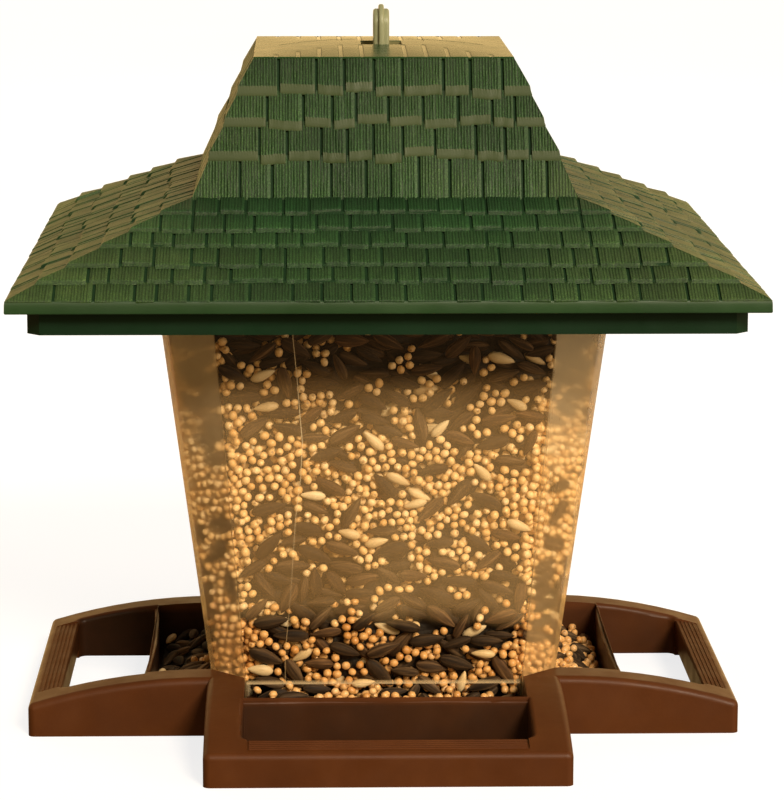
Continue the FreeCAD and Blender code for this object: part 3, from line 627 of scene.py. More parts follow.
# inner face of the hopper: half-width and chamfer, growing with height
def inner_half(z):
    return 60.46 - 2.2 + 0.1286 * (z - 19.4)


def inner_flat(z):
    return 60.46 - 12.25 - 0.911 + 0.0773 * (z - 19.4)


def lying(rng):
    """Long seeds mostly settle near level."""
    return rng.normal(0, 0.55)


def any_way(rng):
    return rng.uniform(0, 2 * math.pi)


def bump(x, middle, width):
    return math.exp(-((x - middle) / width) ** 2)


LEVELS = [(0, 0.65), (26, 0.68), (34, 0.56), (39, 0.14), (48, 0.07), (53, 0.36), (64, 0.64), (72, 0.84), (80, 0.95), (94, 0.97),
          (103, 0.91), (109, 0.76), (118, 0.67), (124, 0.50), (128, 0.16), (132, 0.085), (149, 0.06)]


# the two front corners as they lie in the photo, left and right
CORNERS = {0: [(0, 0.97), (36, 0.97), (39, 0.86), (49, 0.82), (53, 0.975), (57, 0.98), (98, 0.98), (102, 0.6), (106, 0.12), (149, 0.06)],
           1: [(0, 0.97), (38, 0.97), (42, 0.5), (52, 0.42), (56, 0.87), (68, 0.92), (71, 0.88), (76, 0.88), (79, 0.965), (106, 0.97),
               (112, 0.85), (118, 0.5), (124, 0.2), (149, 0.06)]}


def layers(u, z, more=0.0, levels=LEVELS):
    """Share of sunflower, millet and hearts: dark seed on top, a broad band of millet, a dark band, mixed seed at the foot."""
    wave = 2.6 * math.sin(0.055 * u + 0.6) + 1.6 * math.sin(0.13 * u + 2.0)
    millet = float(np.interp(z + wave, *zip(*levels)))
    millet = min(0.995, millet + more * (26 < z < 118))
    return 1 - millet, millet, 0.05 if levels is LEVELS else 0.01


V0, V1 = 3.0, 148.5
TILT = 0.1286
wall_beds = {}
for side, label in enumerate(("front", "right", "back", "left")):
    rng = np.random.default_rng(200 + side)
    # the panel seen from inside: u along it, v up it, depth towards the middle
    o = turn(np.array([0.0, -inner_half(0.0), 0.0]), side)
    eu = turn(np.array([-1.0, 0.0, 0.0]), side)
    ev = turn(np.array([0.0, -TILT, 1.0]), side)
    ln = math.hypot(1, TILT)
    bed = Bed(o, eu, ev, -60, 60, V0 * ln, V1 * ln,
              lambda u, v: V0 < v / ln < V1 and abs(u) < inner_flat(v / ln) + 0.7, rng)
    bed.pack_against(1.0, lambda u, v: layers(-u + 37 * side, v / ln), lying)
    beds = [bed]
    # the chamfered corner to the left of each panel
    o = turn(np.array([-(inner_half(0.0) + inner_flat(0.0)) / 2, -(inner_half(0.0) + inner_flat(0.0)) / 2, 0.0]), side)
    eu = turn(np.array([-1.0, 1.0, 0.0]), side)
    k = (TILT + 0.0773) / 2
    ev = turn(np.array([-k, -k, 1.0]), side)
    lc = math.hypot(1, k * math.sqrt(2))
    corner = Bed(o, eu, ev, -14, 14, 17 * lc, V1 * lc,
                 lambda u, v: 17 < v / lc < V1 and abs(u) < (inner_half(v / lc) - inner_flat(v / lc)) * 0.7071 - 0.6, rng)
    share = lambda u, v: layers(-u - 56 + 37 * side, v / lc, (0.0, 0.0, 0.12, 0.12)[side], CORNERS.get(side, LEVELS))
    corner.pack_against(0.34, share, lying, share)
    beds.append(corner)
    wall_beds[label] = beds
# the heaped top, seen when the roof is lifted
rng = np.random.default_rng(260)
top_bed = Bed((0, 0, 143.5), (1, 0, 0), (0, 1, 0), -70, 70, -70, 70,
              lambda u, v: max(abs(u), abs(v)) < 69.5 and abs(u) + abs(v) < 69.5 * 2 - 22, rng)
top_bed.fill(1500, lambda u, v: (0.8, 0.22, 0.06), 6.4, any_way)
# seed run out into the troughs, sloping down to the dividers
RUN_OUT = [(0.82, 0.15, 0.03), (0.73, 0.27, 0.005), (0.7, 0.3, 0.03), (0.985, 0.004, 0.008)]
trough_beds = {}
for side, label in enumerate(("front", "right", "back", "left")):
    rng = np.random.default_rng(280 + side)
    o = turn(np.array([0.0, -60.5, 13.5]), side)
    eu = turn(np.array([1.0, 0.0, 0.0]), side)
    ev = turn(np.array([0.0, 20.5, 8.5]), side)
    bed = Bed(o, eu, ev, -48, 48, -21.6, 1.5,
              lambda u, v: abs(u) < (47.6 if v < -7 else 40.5) and -21.4 < v < 1.5, rng)
    bed.fill(330, lambda u, v: RUN_OUT[side], 4.4, any_way)
    trough_beds[label] = bed


# ------------------------------------------------------------------ materials
def nodes_of(name):
    mat = bpy.data.materials.new(name)
    mat.use_nodes = True
    nt = mat.node_tree
    return mat, nt, nt.nodes["Principled BSDF"]


def add(nt, kind, **values):
    n = nt.nodes.new(kind)
    for key, value in values.items():
        if hasattr(n, key):
            setattr(n, key, value)
        else:
            n.inputs[key.replace("_", " ")].default_value = value
    return n


def ramp(nt, source, stops):
    n = nt.nodes.new("ShaderNodeValToRGB")
    e = n.color_ramp.elements
    while len(e) < len(stops):
        e.new(0.5)
    for s, (at, colour) in zip(e, stops):
        s.position = at
        s.color = (*colour, 1) if len(colour) == 3 else colour
    nt.links.new(source, n.inputs["Fac"])
    return n.outputs["Color"]


def span(nt, source, lo, hi, to_lo, to_hi):
    n = nt.nodes.new("ShaderNodeMapRange")
    for key, value in (("From Min", lo), ("From Max", hi), ("To Min", to_lo), ("To Max", to_hi)):
        n.inputs[key].default_value = value
    nt.links.new(source, n.inputs["Value"])
    return n.outputs["Result"]


def noise(nt, vector, scale, detail=3.0, rough=0.55, stretch=None, distortion=0.0):
    if stretch is not None:
        m = nt.nodes.new("ShaderNodeMapping")
        m.inputs["Scale"].default_value = stretch
        nt.links.new(vector, m.inputs["Vector"])
        vector = m.outputs["Vector"]
    n = nt.nodes.new("ShaderNodeTexNoise")
    n.inputs["Scale"].default_value = scale
    n.inputs["Detail"].default_value = detail
    n.inputs["Roughness"].default_value = rough
    n.inputs["Distortion"].default_value = distortion
    nt.links.new(vector, n.inputs["Vector"])
    return n.outputs["Fac"]


def mix(nt, fac, a, b, blend="MIX"):
    n = nt.nodes.new("ShaderNodeMix")
    n.data_type = "RGBA"
    n.blend_type = blend
    for value, key in ((fac, 0), (a, 6), (b, 7)):
        if hasattr(value, "is_linked"):
            nt.links.new(value, n.inputs[key])
        else:
            n.inputs[key].default_value = value if key == 0 else (*value, 1)
    return n.outputs[2]


def bump_of(nt, height, strength, distance, target):
    n = nt.nodes.new("ShaderNodeBump")
    n.inputs["Strength"].default_value = strength
    n.inputs["Distance"].default_value = distance
    nt.links.new(height, n.inputs["Height"])
    nt.links.new(n.outputs["Normal"], target.inputs["Normal"])


def maths(nt, op, a, b=None, c=None):
    n = nt.nodes.new("ShaderNodeMath")
    n.operation = op
    for i, value in enumerate((a, b, c)):
        if hasattr(value, "is_linked"):
            nt.links.new(value, n.inputs[i])
        elif value is not None:
            n.inputs[i].default_value = value
    return n.outputs[0]


def object_coords(nt):
    return nt.nodes.new("ShaderNodeTexCoord").outputs["Object"]


def moulded(name, dark, mid, light, rough, grit, spec=0.5, worn=None, relief=(0.16, 0.0002), vary=1.0, toned=False, foot=None):
    """Moulded plastic: slight mottling, fine mould texture, a little wear on its edges."""
    mat, nt, p = nodes_of(name)
    at = object_coords(nt)
    broad = noise(nt, at, 34, 4, 0.6)
    colour = ramp(nt, broad, [(0.3, dark), (0.52, mid), (0.75, light)])
    fine = noise(nt, at, 1500, 2, 0.6)
    colour = mix(nt, span(nt, fine, 0.35, 0.75, 0.0, 0.22), colour, light)
    if worn is not None:
        geo = nt.nodes.new("ShaderNodeNewGeometry")
        edge = span(nt, geo.outputs["Pointiness"], 0.515, 0.56, 0.0, 0.5)
        colour = mix(nt, edge, colour, worn)
    if toned:
        tone = nt.nodes.new("ShaderNodeAttribute")
        tone.attribute_name = "tone"
        colour = mix(nt, 1.0, colour, tone.outputs["Color"], "MULTIPLY")
        # painted glints: fine pale yellow specks up to twice as bright
        speck = noise(nt, at, 1900, 2, 0.7)
        colour = mix(nt, 1.0, colour, ramp(nt, speck, [(0.36, (0.62, 0.64, 0.62)), (0.52, (1.0, 1.0, 0.92)), (0.66, (2.0, 1.65, 1.3))]), "MULTIPLY")
        # painted sheen: paler and warmer towards the hips
        part = nt.nodes.new("ShaderNodeSeparateXYZ")
        nt.links.new(at, part.inputs[0])
        hip = maths(nt, "MINIMUM", maths(nt, "ABSOLUTE", part.outputs["X"]), maths(nt, "ABSOLUTE", part.outputs["Y"]))
        colour = mix(nt, span(nt, hip, 0.040, 0.100, 0.0, 1.0), colour, mix(nt, 1.0, colour, (2.1, 1.38, 1.35), "MULTIPLY"))
        if foot is not None:        # painted shade: deeper where the slope meets the cupola
            inner = maths(nt, "MAXIMUM", maths(nt, "ABSOLUTE", part.outputs["X"]), maths(nt, "ABSOLUTE", part.outputs["Y"]))
            colour = mix(nt, span(nt, inner, 0.076, 0.100, 1.0, 0.0), colour, mix(nt, 1.0, colour, foot, "MULTIPLY"))
    nt.links.new(colour, p.inputs["Base Color"])
    r = noise(nt, at, 90, 4, 0.6)
    nt.links.new(span(nt, r, 0.3, 0.7, rough - 0.06 * vary, rough + 0.07 * vary), p.inputs["Roughness"])
    p.inputs["Specular IOR Level"].default_value = spec
    bump_of(nt, noise(nt, at, grit, 3, 0.6), relief[0], relief[1], p)
    return mat


def base_brown_of(name):
    """The base's plastic, with painted shade on the walls and floors inside the arms, patchy and heaviest on the left.
    """
    mat = moulded(name, (0.056, 0.0165, 0.0042), (0.068, 0.0205, 0.0052), (0.088, 0.0285, 0.0076), 0.44, 1100, 0.17)
    nt = mat.node_tree
    p = nt.nodes["Principled BSDF"]
    colour = p.inputs["Base Color"].links[0].from_socket
    at = object_coords(nt)
    part = nt.nodes.new("ShaderNodeSeparateXYZ")
    nt.links.new(at, part.inputs[0])
    x, y = (maths(nt, "ABSOLUTE", part.outputs[k]) for k in "XY")
    along, across = maths(nt, "MAXIMUM", x, y), maths(nt, "MINIMUM", x, y)
    # painted shade inside the arms: patchy, heavier on the left and lighter on the right, mixed towards a near-black
    # brown below
    shade_strength = span(nt, noise(nt, at, 60, 4, 0.6), 0.3, 0.7, 0.75, 1.0)
    shade_strength = maths(nt, "MULTIPLY", shade_strength, maths(nt, "MULTIPLY", span(nt, part.outputs["X"], 0.045, 0.08, 1.0, 0.45), span(nt, part.outputs["X"], -0.08, -0.045, 1.18, 1.0)))
    inside = maths(nt, "MULTIPLY", span(nt, along, 0.1140, 0.1125, 0.0, 1.0), span(nt, across, 0.0496, 0.0487, 0.0, 1.0))
    low = span(nt, part.outputs["Z"], 0.0188, 0.0165, 0.0, 1.0)
    painted_shade = maths(nt, "MULTIPLY", maths(nt, "MULTIPLY", inside, low), maths(nt, "MULTIPLY", shade_strength, 0.72))
    nt.links.new(mix(nt, painted_shade, colour, (0.010, 0.0054, 0.0030)), p.inputs["Base Color"])
    # the grip ribs of the perches are worn dull
    ribs = maths(nt, "MULTIPLY", span(nt, along, 0.1126, 0.1130, 0.0, 1.0), span(nt, along, 0.1222, 0.1214, 0.0, 1.0))
    ribs = maths(nt, "MULTIPLY", ribs, span(nt, across, 0.0468, 0.0464, 0.0, 1.0))
    nt.links.new(span(nt, ribs, 0.0, 1.0, 0.17, 0.04), p.inputs["Specular IOR Level"])
    return mat


# the foot colour paints shade where the lower roof meets the cupola
green = moulded("roof_green_grained", (0.0075, 0.0315, 0.0092), (0.0115, 0.042, 0.0122), (0.0195, 0.057, 0.0185), 0.50, 1200, 0.40, relief=(0.55, 0.0004), toned=True, foot=(0.62, 0.94, 0.96))
green_steep = moulded("roof_green_cupola_faces", (0.0066, 0.0295, 0.0074), (0.0106, 0.0390, 0.0102), (0.0205, 0.0510, 0.0162), 0.54, 1200, 0.29, relief=(0.55, 0.0004), toned=True)
# painted reflection: the cupola butts are a warmer, paler olive than the faces, for the warm light they reflect
green_butt_painted_reflection = moulded("roof_green_cupola_butts_painted_reflection", (0.026, 0.044, 0.0135), (0.032, 0.0515, 0.0165), (0.040, 0.060, 0.020), 0.52, 1500, 0.27)
green_step = moulded("roof_green_lower_butts", (0.0085, 0.033, 0.0105), (0.011, 0.040, 0.013), (0.015, 0.049, 0.0165), 0.55, 1500, 0.26, relief=(0.5, 0.0003), toned=True)
green_eave = moulded("roof_green_eaves", (0.009, 0.036, 0.011), (0.012, 0.043, 0.013), (0.016, 0.052, 0.0165), 0.42, 1500, 0.42)
# painted shade: a darker, duller green for the walls and floors of the gaps between shingles
green_gap_painted_shade = moulded("roof_green_gaps_painted_shade", (0.0065, 0.025, 0.009), (0.0085, 0.031, 0.0115), (0.0105, 0.037, 0.014), 0.7, 1500, 0.15)
green_top = moulded("roof_green_flat_top", (0.0135, 0.043, 0.013), (0.015, 0.046, 0.014), (0.017, 0.050, 0.016), 0.27, 900, 0.15, relief=(0.04, 0.0002), vary=0.25)
green_bright = moulded("roof_green_channels", (0.0135, 0.043, 0.013), (0.015, 0.046, 0.014), (0.017, 0.050, 0.016), 0.24, 900, 0.40, relief=(0.04, 0.0002), vary=0.25)
# painted shade lines along the channel edges
green_line = moulded("roof_green_channel_edges", (0.030, 0.042, 0.014), (0.035, 0.046, 0.016), (0.042, 0.052, 0.019), 0.40, 900, 0.2, relief=(0.04, 0.0002), vary=0.25)
# painted light: the walls of the hanger's recess are a light olive that stands in for the light on them
green_recess_painted_light = moulded("roof_green_recess_painted_light", (0.11, 0.105, 0.036), (0.15, 0.135, 0.048), (0.19, 0.165, 0.062), 0.6, 900, 0.3)
# painted shade: the soffit tray is a darker green than the roof, for the shade under the eave
green_smooth = moulded("tray_green_plastic", (0.0022, 0.0150, 0.0056), (0.0028, 0.018, 0.0068), (0.0040, 0.022, 0.0085), 0.45, 1200, 0.16)
brown = base_brown_of("base_brown_plastic")
hanger = moulded("hanger_grey_green_plastic", (0.17, 0.185, 0.105), (0.21, 0.225, 0.132), (0.26, 0.275, 0.165), 0.38, 1200, 0.5)


def steel_of(name):
    mat, nt, p = nodes_of(name)
    at = object_coords(nt)
    streak = noise(nt, at, 400, 4, 0.6, stretch=(1, 1, 9))
    nt.links.new(ramp(nt, streak, [(0.3, (0.46, 0.46, 0.45)), (0.7, (0.62, 0.62, 0.60))]), p.inputs["Base Color"])
    nt.links.new(span(nt, streak, 0.3, 0.7, 0.26, 0.42), p.inputs["Roughness"])
    p.inputs["Metallic"].default_value = 1.0
    bump_of(nt, streak, 0.1, 0.0001, p)
    return mat


steel = steel_of("zinc_plated_steel")


def clear_of(name):
    """Clear styrene: a warm diffuse film, partly seed dust and mostly painted haze for a reflection of warm light,
    thicker in the corners and left out near the foot and the top; a painted pale sheen along the silhouettes, and a
    gloss on top.
    """
    mat = bpy.data.materials.new(name)
    mat.use_nodes = True
    nt = mat.node_tree
    nt.nodes.clear()
    out = nt.nodes.new("ShaderNodeOutputMaterial")
    at = object_coords(nt)
    part = nt.nodes.new("ShaderNodeSeparateXYZ")
    nt.links.new(at, part.inputs[0])
    x, y, z = (part.outputs[k] for k in "XYZ")
    # the cut corners widen upwards with the taper
    nearer = maths(nt, "MINIMUM", maths(nt, "ABSOLUTE", x), maths(nt, "ABSOLUTE", y))
    corner = span(nt, maths(nt, "MULTIPLY_ADD", z, -0.0773, nearer), 0.0464, 0.0470, 0.0, 1.0)
    smear = noise(nt, at, 26, 5, 0.65, stretch=(1, 1, 0.35), distortion=0.6)
    height = maths(nt, "ADD", z, span(nt, smear, 0.3, 0.7, -0.003, 0.003))
    # painted haze: the warm film keeps to a band of height, stopping below the top and above the foot
    painted_haze_band = maths(nt, "MULTIPLY", span(nt, height, 0.0395, 0.0470, 0.0, 1.0), span(nt, height, 0.132, 0.124, 0.0, 1.0))
    cover = maths(nt, "MAXIMUM", painted_haze_band, corner)
    thick = maths(nt, "MULTIPLY_ADD", corner, span(nt, z, 0.085, 0.15, 0.0, 0.25), 0.094)
    film = maths(nt, "MULTIPLY", maths(nt, "MULTIPLY", cover, thick), span(nt, smear, 0.3, 0.7, 0.75, 1.2))
    foot = maths(nt, "MULTIPLY", span(nt, z, 0.0190, 0.0187, 0.0, 0.26), span(nt, corner, 0.0, 1.0, 1.0, 0.0))
    film = maths(nt, "MAXIMUM", film, foot)
    line = [(29, -34.4), (53, -32.3), (79, -30.6), (93, -28.9), (106, -28.2), (114, -28.9), (128, -29.9), (143, -31.3)]
    track = ramp(nt, span(nt, z, 0.029, 0.143, 0.0, 1.0), [((h - 29) / 114, [(w + 40) / 20] * 3) for h, w in line])
    aside = maths(nt, "ABSOLUTE", maths(nt, "SUBTRACT", x, maths(nt, "MULTIPLY_ADD", track, 0.02, -0.04)))
    scratch = maths(nt, "MULTIPLY", span(nt, aside, 0.00020, 0.00010, 0.0, 0.36), span(nt, y, -0.050, -0.052, 0.0, 1.0))
    scratch = maths(nt, "MULTIPLY", scratch, span(nt, z, 0.04, 0.11, 0.3, 1.0))
    film = maths(nt, "MAXIMUM", film, scratch)
    # painted sheen: towards the silhouettes the film grows and turns a pale tan
    weight = nt.nodes.new("ShaderNodeLayerWeight")
    weight.inputs["Blend"].default_value = 0.5
    film = maths(nt, "MAXIMUM", film, maths(nt, "MULTIPLY", maths(nt, "POWER", weight.outputs["Facing"], 6.0), 0.92))
    clear_part = nt.nodes.new("ShaderNodeBsdfTransparent")
    nt.links.new(ramp(nt, noise(nt, at, 18, 4, 0.6), [(0.3, (0.95, 0.92, 0.86)), (0.7, (0.98, 0.965, 0.93))]), clear_part.inputs["Color"])
    # the cut corners are thicker and uneven inside, so that what lies behind them blurs
    bent = nt.nodes.new("ShaderNodeBsdfRefraction")
    bent.inputs["IOR"].default_value = 1.3
    nt.links.new(span(nt, smear, 0.3, 0.7, 0.22, 0.34), bent.inputs["Roughness"])
    nt.links.new(clear_part.inputs["Color"].links[0].from_socket, bent.inputs["Color"])
    through = nt.nodes.new("ShaderNodeMixShader")
    nt.links.new(maths(nt, "MULTIPLY", corner, span(nt, z, 0.098, 0.118, 0.75, 0.42)), through.inputs[0])
    nt.links.new(clear_part.outputs[0], through.inputs[1])
    nt.links.new(bent.outputs[0], through.inputs[2])
    dust_and_haze = nt.nodes.new("ShaderNodeBsdfDiffuse")
    dust_and_haze_colour = ramp(nt, smear, [(0.3, (0.84, 0.52, 0.21)), (0.7, (0.92, 0.64, 0.31))])
    grey = maths(nt, "MAXIMUM", maths(nt, "MULTIPLY", corner, span(nt, z, 0.09, 0.14, 0.0, 1.0)), maths(nt, "MULTIPLY", maths(nt, "MAXIMUM", scratch, foot), 2.5))
    dust_and_haze_colour = mix(nt, grey, dust_and_haze_colour, (0.88, 0.74, 0.50))
    nt.links.new(mix(nt, maths(nt, "POWER", weight.outputs["Facing"], 6.0), dust_and_haze_colour, (0.76, 0.66, 0.36)), dust_and_haze.inputs["Color"])
    body_mix = nt.nodes.new("ShaderNodeMixShader")
    nt.links.new(film, body_mix.inputs[0])
    nt.links.new(through.outputs[0], body_mix.inputs[1])
    nt.links.new(dust_and_haze.outputs[0], body_mix.inputs[2])
    gloss = nt.nodes.new("ShaderNodeBsdfGlossy")
    nt.links.new(span(nt, smear, 0.35, 0.8, 0.05, 0.16), gloss.inputs["Roughness"])
    share = maths(nt, "MULTIPLY_ADD", maths(nt, "POWER", weight.outputs["Facing"], 5.0), 0.8, 0.035)
    shell = nt.nodes.new("ShaderNodeMixShader")
    nt.links.new(share, shell.inputs[0])
    nt.links.new(body_mix.outputs[0], shell.inputs[1])
    nt.links.new(gloss.outputs[0], shell.inputs[2])
    nt.links.new(shell.outputs[0], out.inputs["Surface"])
    # along the wall the plastic itself looks amber
    tint = nt.nodes.new("ShaderNodeVolumeAbsorption")
    tint.inputs["Color"].default_value = (0.90, 0.77, 0.55, 1)
    tint.inputs["Density"].default_value = 55.0
    nt.links.new(tint.outputs[0], out.inputs["Volume"])
    return mat


clear = clear_of("clear_styrene")


def seed_coords(nt, nx, ny):
    n = nt.nodes.new("ShaderNodeUVMap")
    n.uv_map = "SeedUV"
    m = nt.nodes.new("ShaderNodeVectorMath")
    m.operation = "MULTIPLY"
    nt.links.new(n.outputs["UV"], m.inputs[0])
    m.inputs[1].default_value = (nx, ny, 1)
    f = nt.nodes.new("ShaderNodeVectorMath")
    f.operation = "FLOOR"
    nt.links.new(m.outputs[0], f.inputs[0])
    w = nt.nodes.new("ShaderNodeTexWhiteNoise")
    w.noise_dimensions = "2D"
    nt.links.new(f.outputs[0], w.inputs["Vector"])
    fr = nt.nodes.new("ShaderNodeVectorMath")
    fr.operation = "FRACTION"
    nt.links.new(m.outputs[0], fr.inputs[0])
    return n.outputs["UV"], w.outputs["Value"], fr.outputs[0]


def sunflower_of(name):
    mat, nt, p = nodes_of(name)
    uv, each, inside = seed_coords(nt, 8, 8)
    streak = noise(nt, uv, 1.0, 4, 0.6, stretch=(72, 8, 1))
    husk = ramp(nt, streak, [(0.36, (0.013, 0.0070, 0.0032)), (0.5, (0.038, 0.022, 0.0105)), (0.6, (0.085, 0.053, 0.027)), (0.74, (0.19, 0.128, 0.074))])
    # a paler seam along both edges
    part = nt.nodes.new("ShaderNodeSeparateXYZ")
    nt.links.new(inside, part.inputs[0])
    seam = maths(nt, "ABSOLUTE", maths(nt, "SUBTRACT", maths(nt, "FRACT", maths(nt, "MULTIPLY_ADD", part.outputs["X"], 2.0, 0.5)), 0.5))
    husk = mix(nt, span(nt, seam, 0.03, 0.10, 0.55, 0.0), husk, (0.13, 0.088, 0.05))
    tone = ramp(nt, each, [(0.0, (0.55, 0.52, 0.5)), (0.6, (1.0, 0.95, 0.9)), (0.85, (1.5, 1.35, 1.2)), (1.0, (2.2, 1.9, 1.6))])
    nt.links.new(mix(nt, 1.0, husk, tone, "MULTIPLY"), p.inputs["Base Color"])
    nt.links.new(span(nt, streak, 0.3, 0.7, 0.66, 0.82), p.inputs["Roughness"])
    p.inputs["Specular IOR Level"].default_value = 0.22
    bump_of(nt, streak, 0.45, 0.0003, p)
    return mat


def millet_of(name):
    mat, nt, p = nodes_of(name)
    uv, each, inside = seed_coords(nt, 16, 16)
    skin = ramp(nt, each, [(0.0, (0.70, 0.42, 0.16)), (0.25, (0.84, 0.56, 0.255)), (0.75, (0.90, 0.65, 0.335)), (1.0, (0.92, 0.71, 0.43))])
    cloud = noise(nt, uv, 60, 3, 0.6)
    skin = mix(nt, span(nt, cloud, 0.4, 0.7, 0.0, 0.3), skin, (0.62, 0.33, 0.10))
    part = nt.nodes.new("ShaderNodeSeparateXYZ")
    nt.links.new(inside, part.inputs[0])
    tip = span(nt, part.outputs["Y"], 0.10, 0.20, 0.75, 0.0)
    skin = mix(nt, tip, skin, (0.22, 0.11, 0.035))
    # painted shade: seed in the first row of cells, at the foot, is darker
    row = nt.nodes.new("ShaderNodeSeparateXYZ")
    nt.links.new(uv, row.inputs[0])
    skin = mix(nt, span(nt, row.outputs["Y"], 0.5624, 0.5626, 1.0, 0.0), skin, mix(nt, 1.0, skin, (0.80, 0.65, 0.50), "MULTIPLY"))
    nt.links.new(skin, p.inputs["Base Color"])
    nt.links.new(span(nt, cloud, 0.3, 0.7, 0.24, 0.38), p.inputs["Roughness"])
    bump_of(nt, cloud, 0.1, 0.0002, p)
    return mat


def heart_of(name):
    mat, nt, p = nodes_of(name)
    uv, each, inside = seed_coords(nt, 8, 8)
    flesh = ramp(nt, each, [(0.0, (0.64, 0.47, 0.25)), (0.5, (0.80, 0.66, 0.42)), (1.0, (0.86, 0.76, 0.56))])
    streak = noise(nt, uv, 1.0, 4, 0.6, stretch=(60, 12, 1))
    flesh = mix(nt, span(nt, streak, 0.45, 0.75, 0.0, 0.5), flesh, (0.40, 0.28, 0.15))
    # painted shade: seed in the first row of cells, at the foot, is darker
    row = nt.nodes.new("ShaderNodeSeparateXYZ")
    nt.links.new(uv, row.inputs[0])
    flesh = mix(nt, span(nt, row.outputs["Y"], 0.8749, 0.8751, 1.0, 0.0), flesh, mix(nt, 1.0, flesh, (0.82, 0.74, 0.62), "MULTIPLY"))
    nt.links.new(flesh, p.inputs["Base Color"])
    nt.links.new(span(nt, streak, 0.3, 0.7, 0.4, 0.55), p.inputs["Roughness"])
    bump_of(nt, streak, 0.3, 0.0003, p)
    return mat


def core_of(name):
    mat, nt, p = nodes_of(name)
    at = object_coords(nt)
    lump = noise(nt, at, 220, 4, 0.6)
    # painted shade: the seed further in is a near-black brown
    nt.links.new(ramp(nt, lump, [(0.35, (0.007, 0.0045, 0.003)), (0.7, (0.022, 0.014, 0.008))]), p.inputs["Base Color"])
    nt.links.new(span(nt, lump, 0.3, 0.7, 0.55, 0.8), p.inputs["Roughness"])
    bump_of(nt, lump, 0.8, 0.002, p)
    return mat


seed_mats = [sunflower_of("black_sunflower_seed"), millet_of("millet_seed"), heart_of("sunflower_heart")]
core_mat = core_of("packed_seed_painted_shade")

# ------------------------------------------------------------------- assembly
for ob in roof_pieces:
    second = {"roof_cupola_shingles": green_butt_painted_reflection, "roof_body": green_top}.get(ob.name, green_step)
    fourth = {"roof_cupola_shingles": (green_steep,), "roof_body": (green_recess_painted_light, green_bright, green_line)}.get(ob.name, ())
    for m in (green_eave if ob.name == "roof_body" else green, second, green_gap_painted_shade) + fourth:
        ob.data.materials.append(m)
    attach(ob, "roof")
    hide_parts("roof_shell")


def octagon(b, c, z):
    a = b - c
    return [(-a, -b, z), (a, -b, z), (b, -a, z), (b, a, z), (a, b, z), (-a, b, z), (-b, a, z), (-b, -a, z)]


seed_pieces = []
for label, beds in wall_beds.items():
    ob = seed_object("seed_" + label, beds, seed_mats, 300 + len(label))
    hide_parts("seed_fill")
    seed_pieces.append(ob)
ob = seed_object("seed_top", [top_bed], seed_mats, 320)
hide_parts("seed_fill")
seed_pieces.append(ob)
core = Pile()
shells = []
for z, inset in ((2.6, 9.0), (20.0, 6.0), (60.0, 6.0), (100.0, 6.0), (143.8, 6.0)):
    ring = octagon(inner_half(z) - inset, inner_half(z) - inner_flat(z) - inset * 0.586 + (9.5 if z < 30 else 0), z)
    shells.append(ring + ring[:1])
core.grid(np.array(shells[::-1]))
lid = np.array(shells[-1])
core.grid(np.array([lid, lid * [0.5, 0.5, 1] + [0, 0, 0.6], lid * [0, 0, 1] + [0, 0, 1.0]]), flip=True)
floor_ring = np.array(shells[0])
core.grid(np.array([floor_ring, floor_ring * [0.72, 0.72, 1]]))
ob = core.object("seed_core", sharp=None)
ob.data.materials.append(core_mat)
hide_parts("seed_fill")
seed_pieces.append(ob)
for side, (label, bed) in enumerate(trough_beds.items()):
    ob = seed_object("trough_seed_" + label + "_loose", [bed], seed_mats, 330 + side)
    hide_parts("trough_seed_" + label)
    seed_pieces.append(ob)
    heap = Pile()
    prof = np.array([(-59.0, 2.5), (-59.0, 13.0), (-61.5, 12.9), (-80.6, 5.0), (-80.6, 2.5)])
    grid = np.array([[(x, y, z) for y, z in prof] for x in np.linspace(-40.0, 40.0, 9)])
    heap.grid(turn(grid, side), flip=True)
    ob = heap.object("trough_core_" + label, sharp=40)
    ob.data.materials.append(core_mat)
    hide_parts("trough_seed_" + label)
    seed_pieces.append(ob)
for ob in seed_pieces:
    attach(ob, "feeder")


def dress(name, mat):
    ob = NODES[name]
    if not ob.material_slots:
        ob.data.materials.append(mat)
    for s in ob.material_slots:
        s.material = mat


dress("soffit_tray", green_smooth)
dress("hopper", clear)
dress("base_tray", brown)
dress("seed_deflector", brown)
dress("hanger_loop", hanger)
dress("hanger_bridge", hanger)
for name in ("hanger_washer", "retaining_clip", "bridge_screws", "hopper_screws"):
    dress(name, steel)
NODES["hopper"].visible_shadow = False
NODES["hopper"].visible_diffuse = False
soft = NODES["hopper"].modifiers.new("edges", "BEVEL")
soft.width, soft.segments, soft.limit_method, soft.angle_limit = 0.0005, 2, "ANGLE", math.radians(25)
soft.harden_normals = True

# ------------------------------------------------------ floor, light and camera
# pale floor that turns up into a round wall far away; it is there for the camera only
R = 8000.0
around = np.linspace(0, 2 * math.pi, 97)
profile = [(r, 0.0) for r in (0.0, 300, 900, 2500, 5000, R - 1500)]
profile += [(R - 1500 + 1500 * math.sin(a), 1500 - 1500 * math.cos(a)) for a in np.linspace(0, math.pi / 2, 13)[1:]] + [(R, 9000.0)]
floor = Pile()
floor.grid(np.array([[(r * math.cos(a), r * math.sin(a), z) for a in around] for r, z in profile]), flip=False)
floor_ob = floor.object("floor", sharp=None)
fmat, fnt, fp = nodes_of("pale_floor")
fat = object_coords(fnt)
fnt.links.new(ramp(fnt, noise(fnt, fat, 3, 2), [(0.3, (0.27, 0.27, 0.275)), (0.7, (0.29, 0.29, 0.295))]), fp.inputs["Base Color"])
fp.inputs["Roughness"].default_value = 0.9
fp.inputs["Specular IOR Level"].default_value = 0.0
fp.inputs["Emission Color"].default_value = (0.985, 0.99, 1.0, 1)
fp.inputs["Emission Strength"].default_value = 0.80
floor_ob.data.materials.append(fmat)
floor_ob.visible_diffuse = False
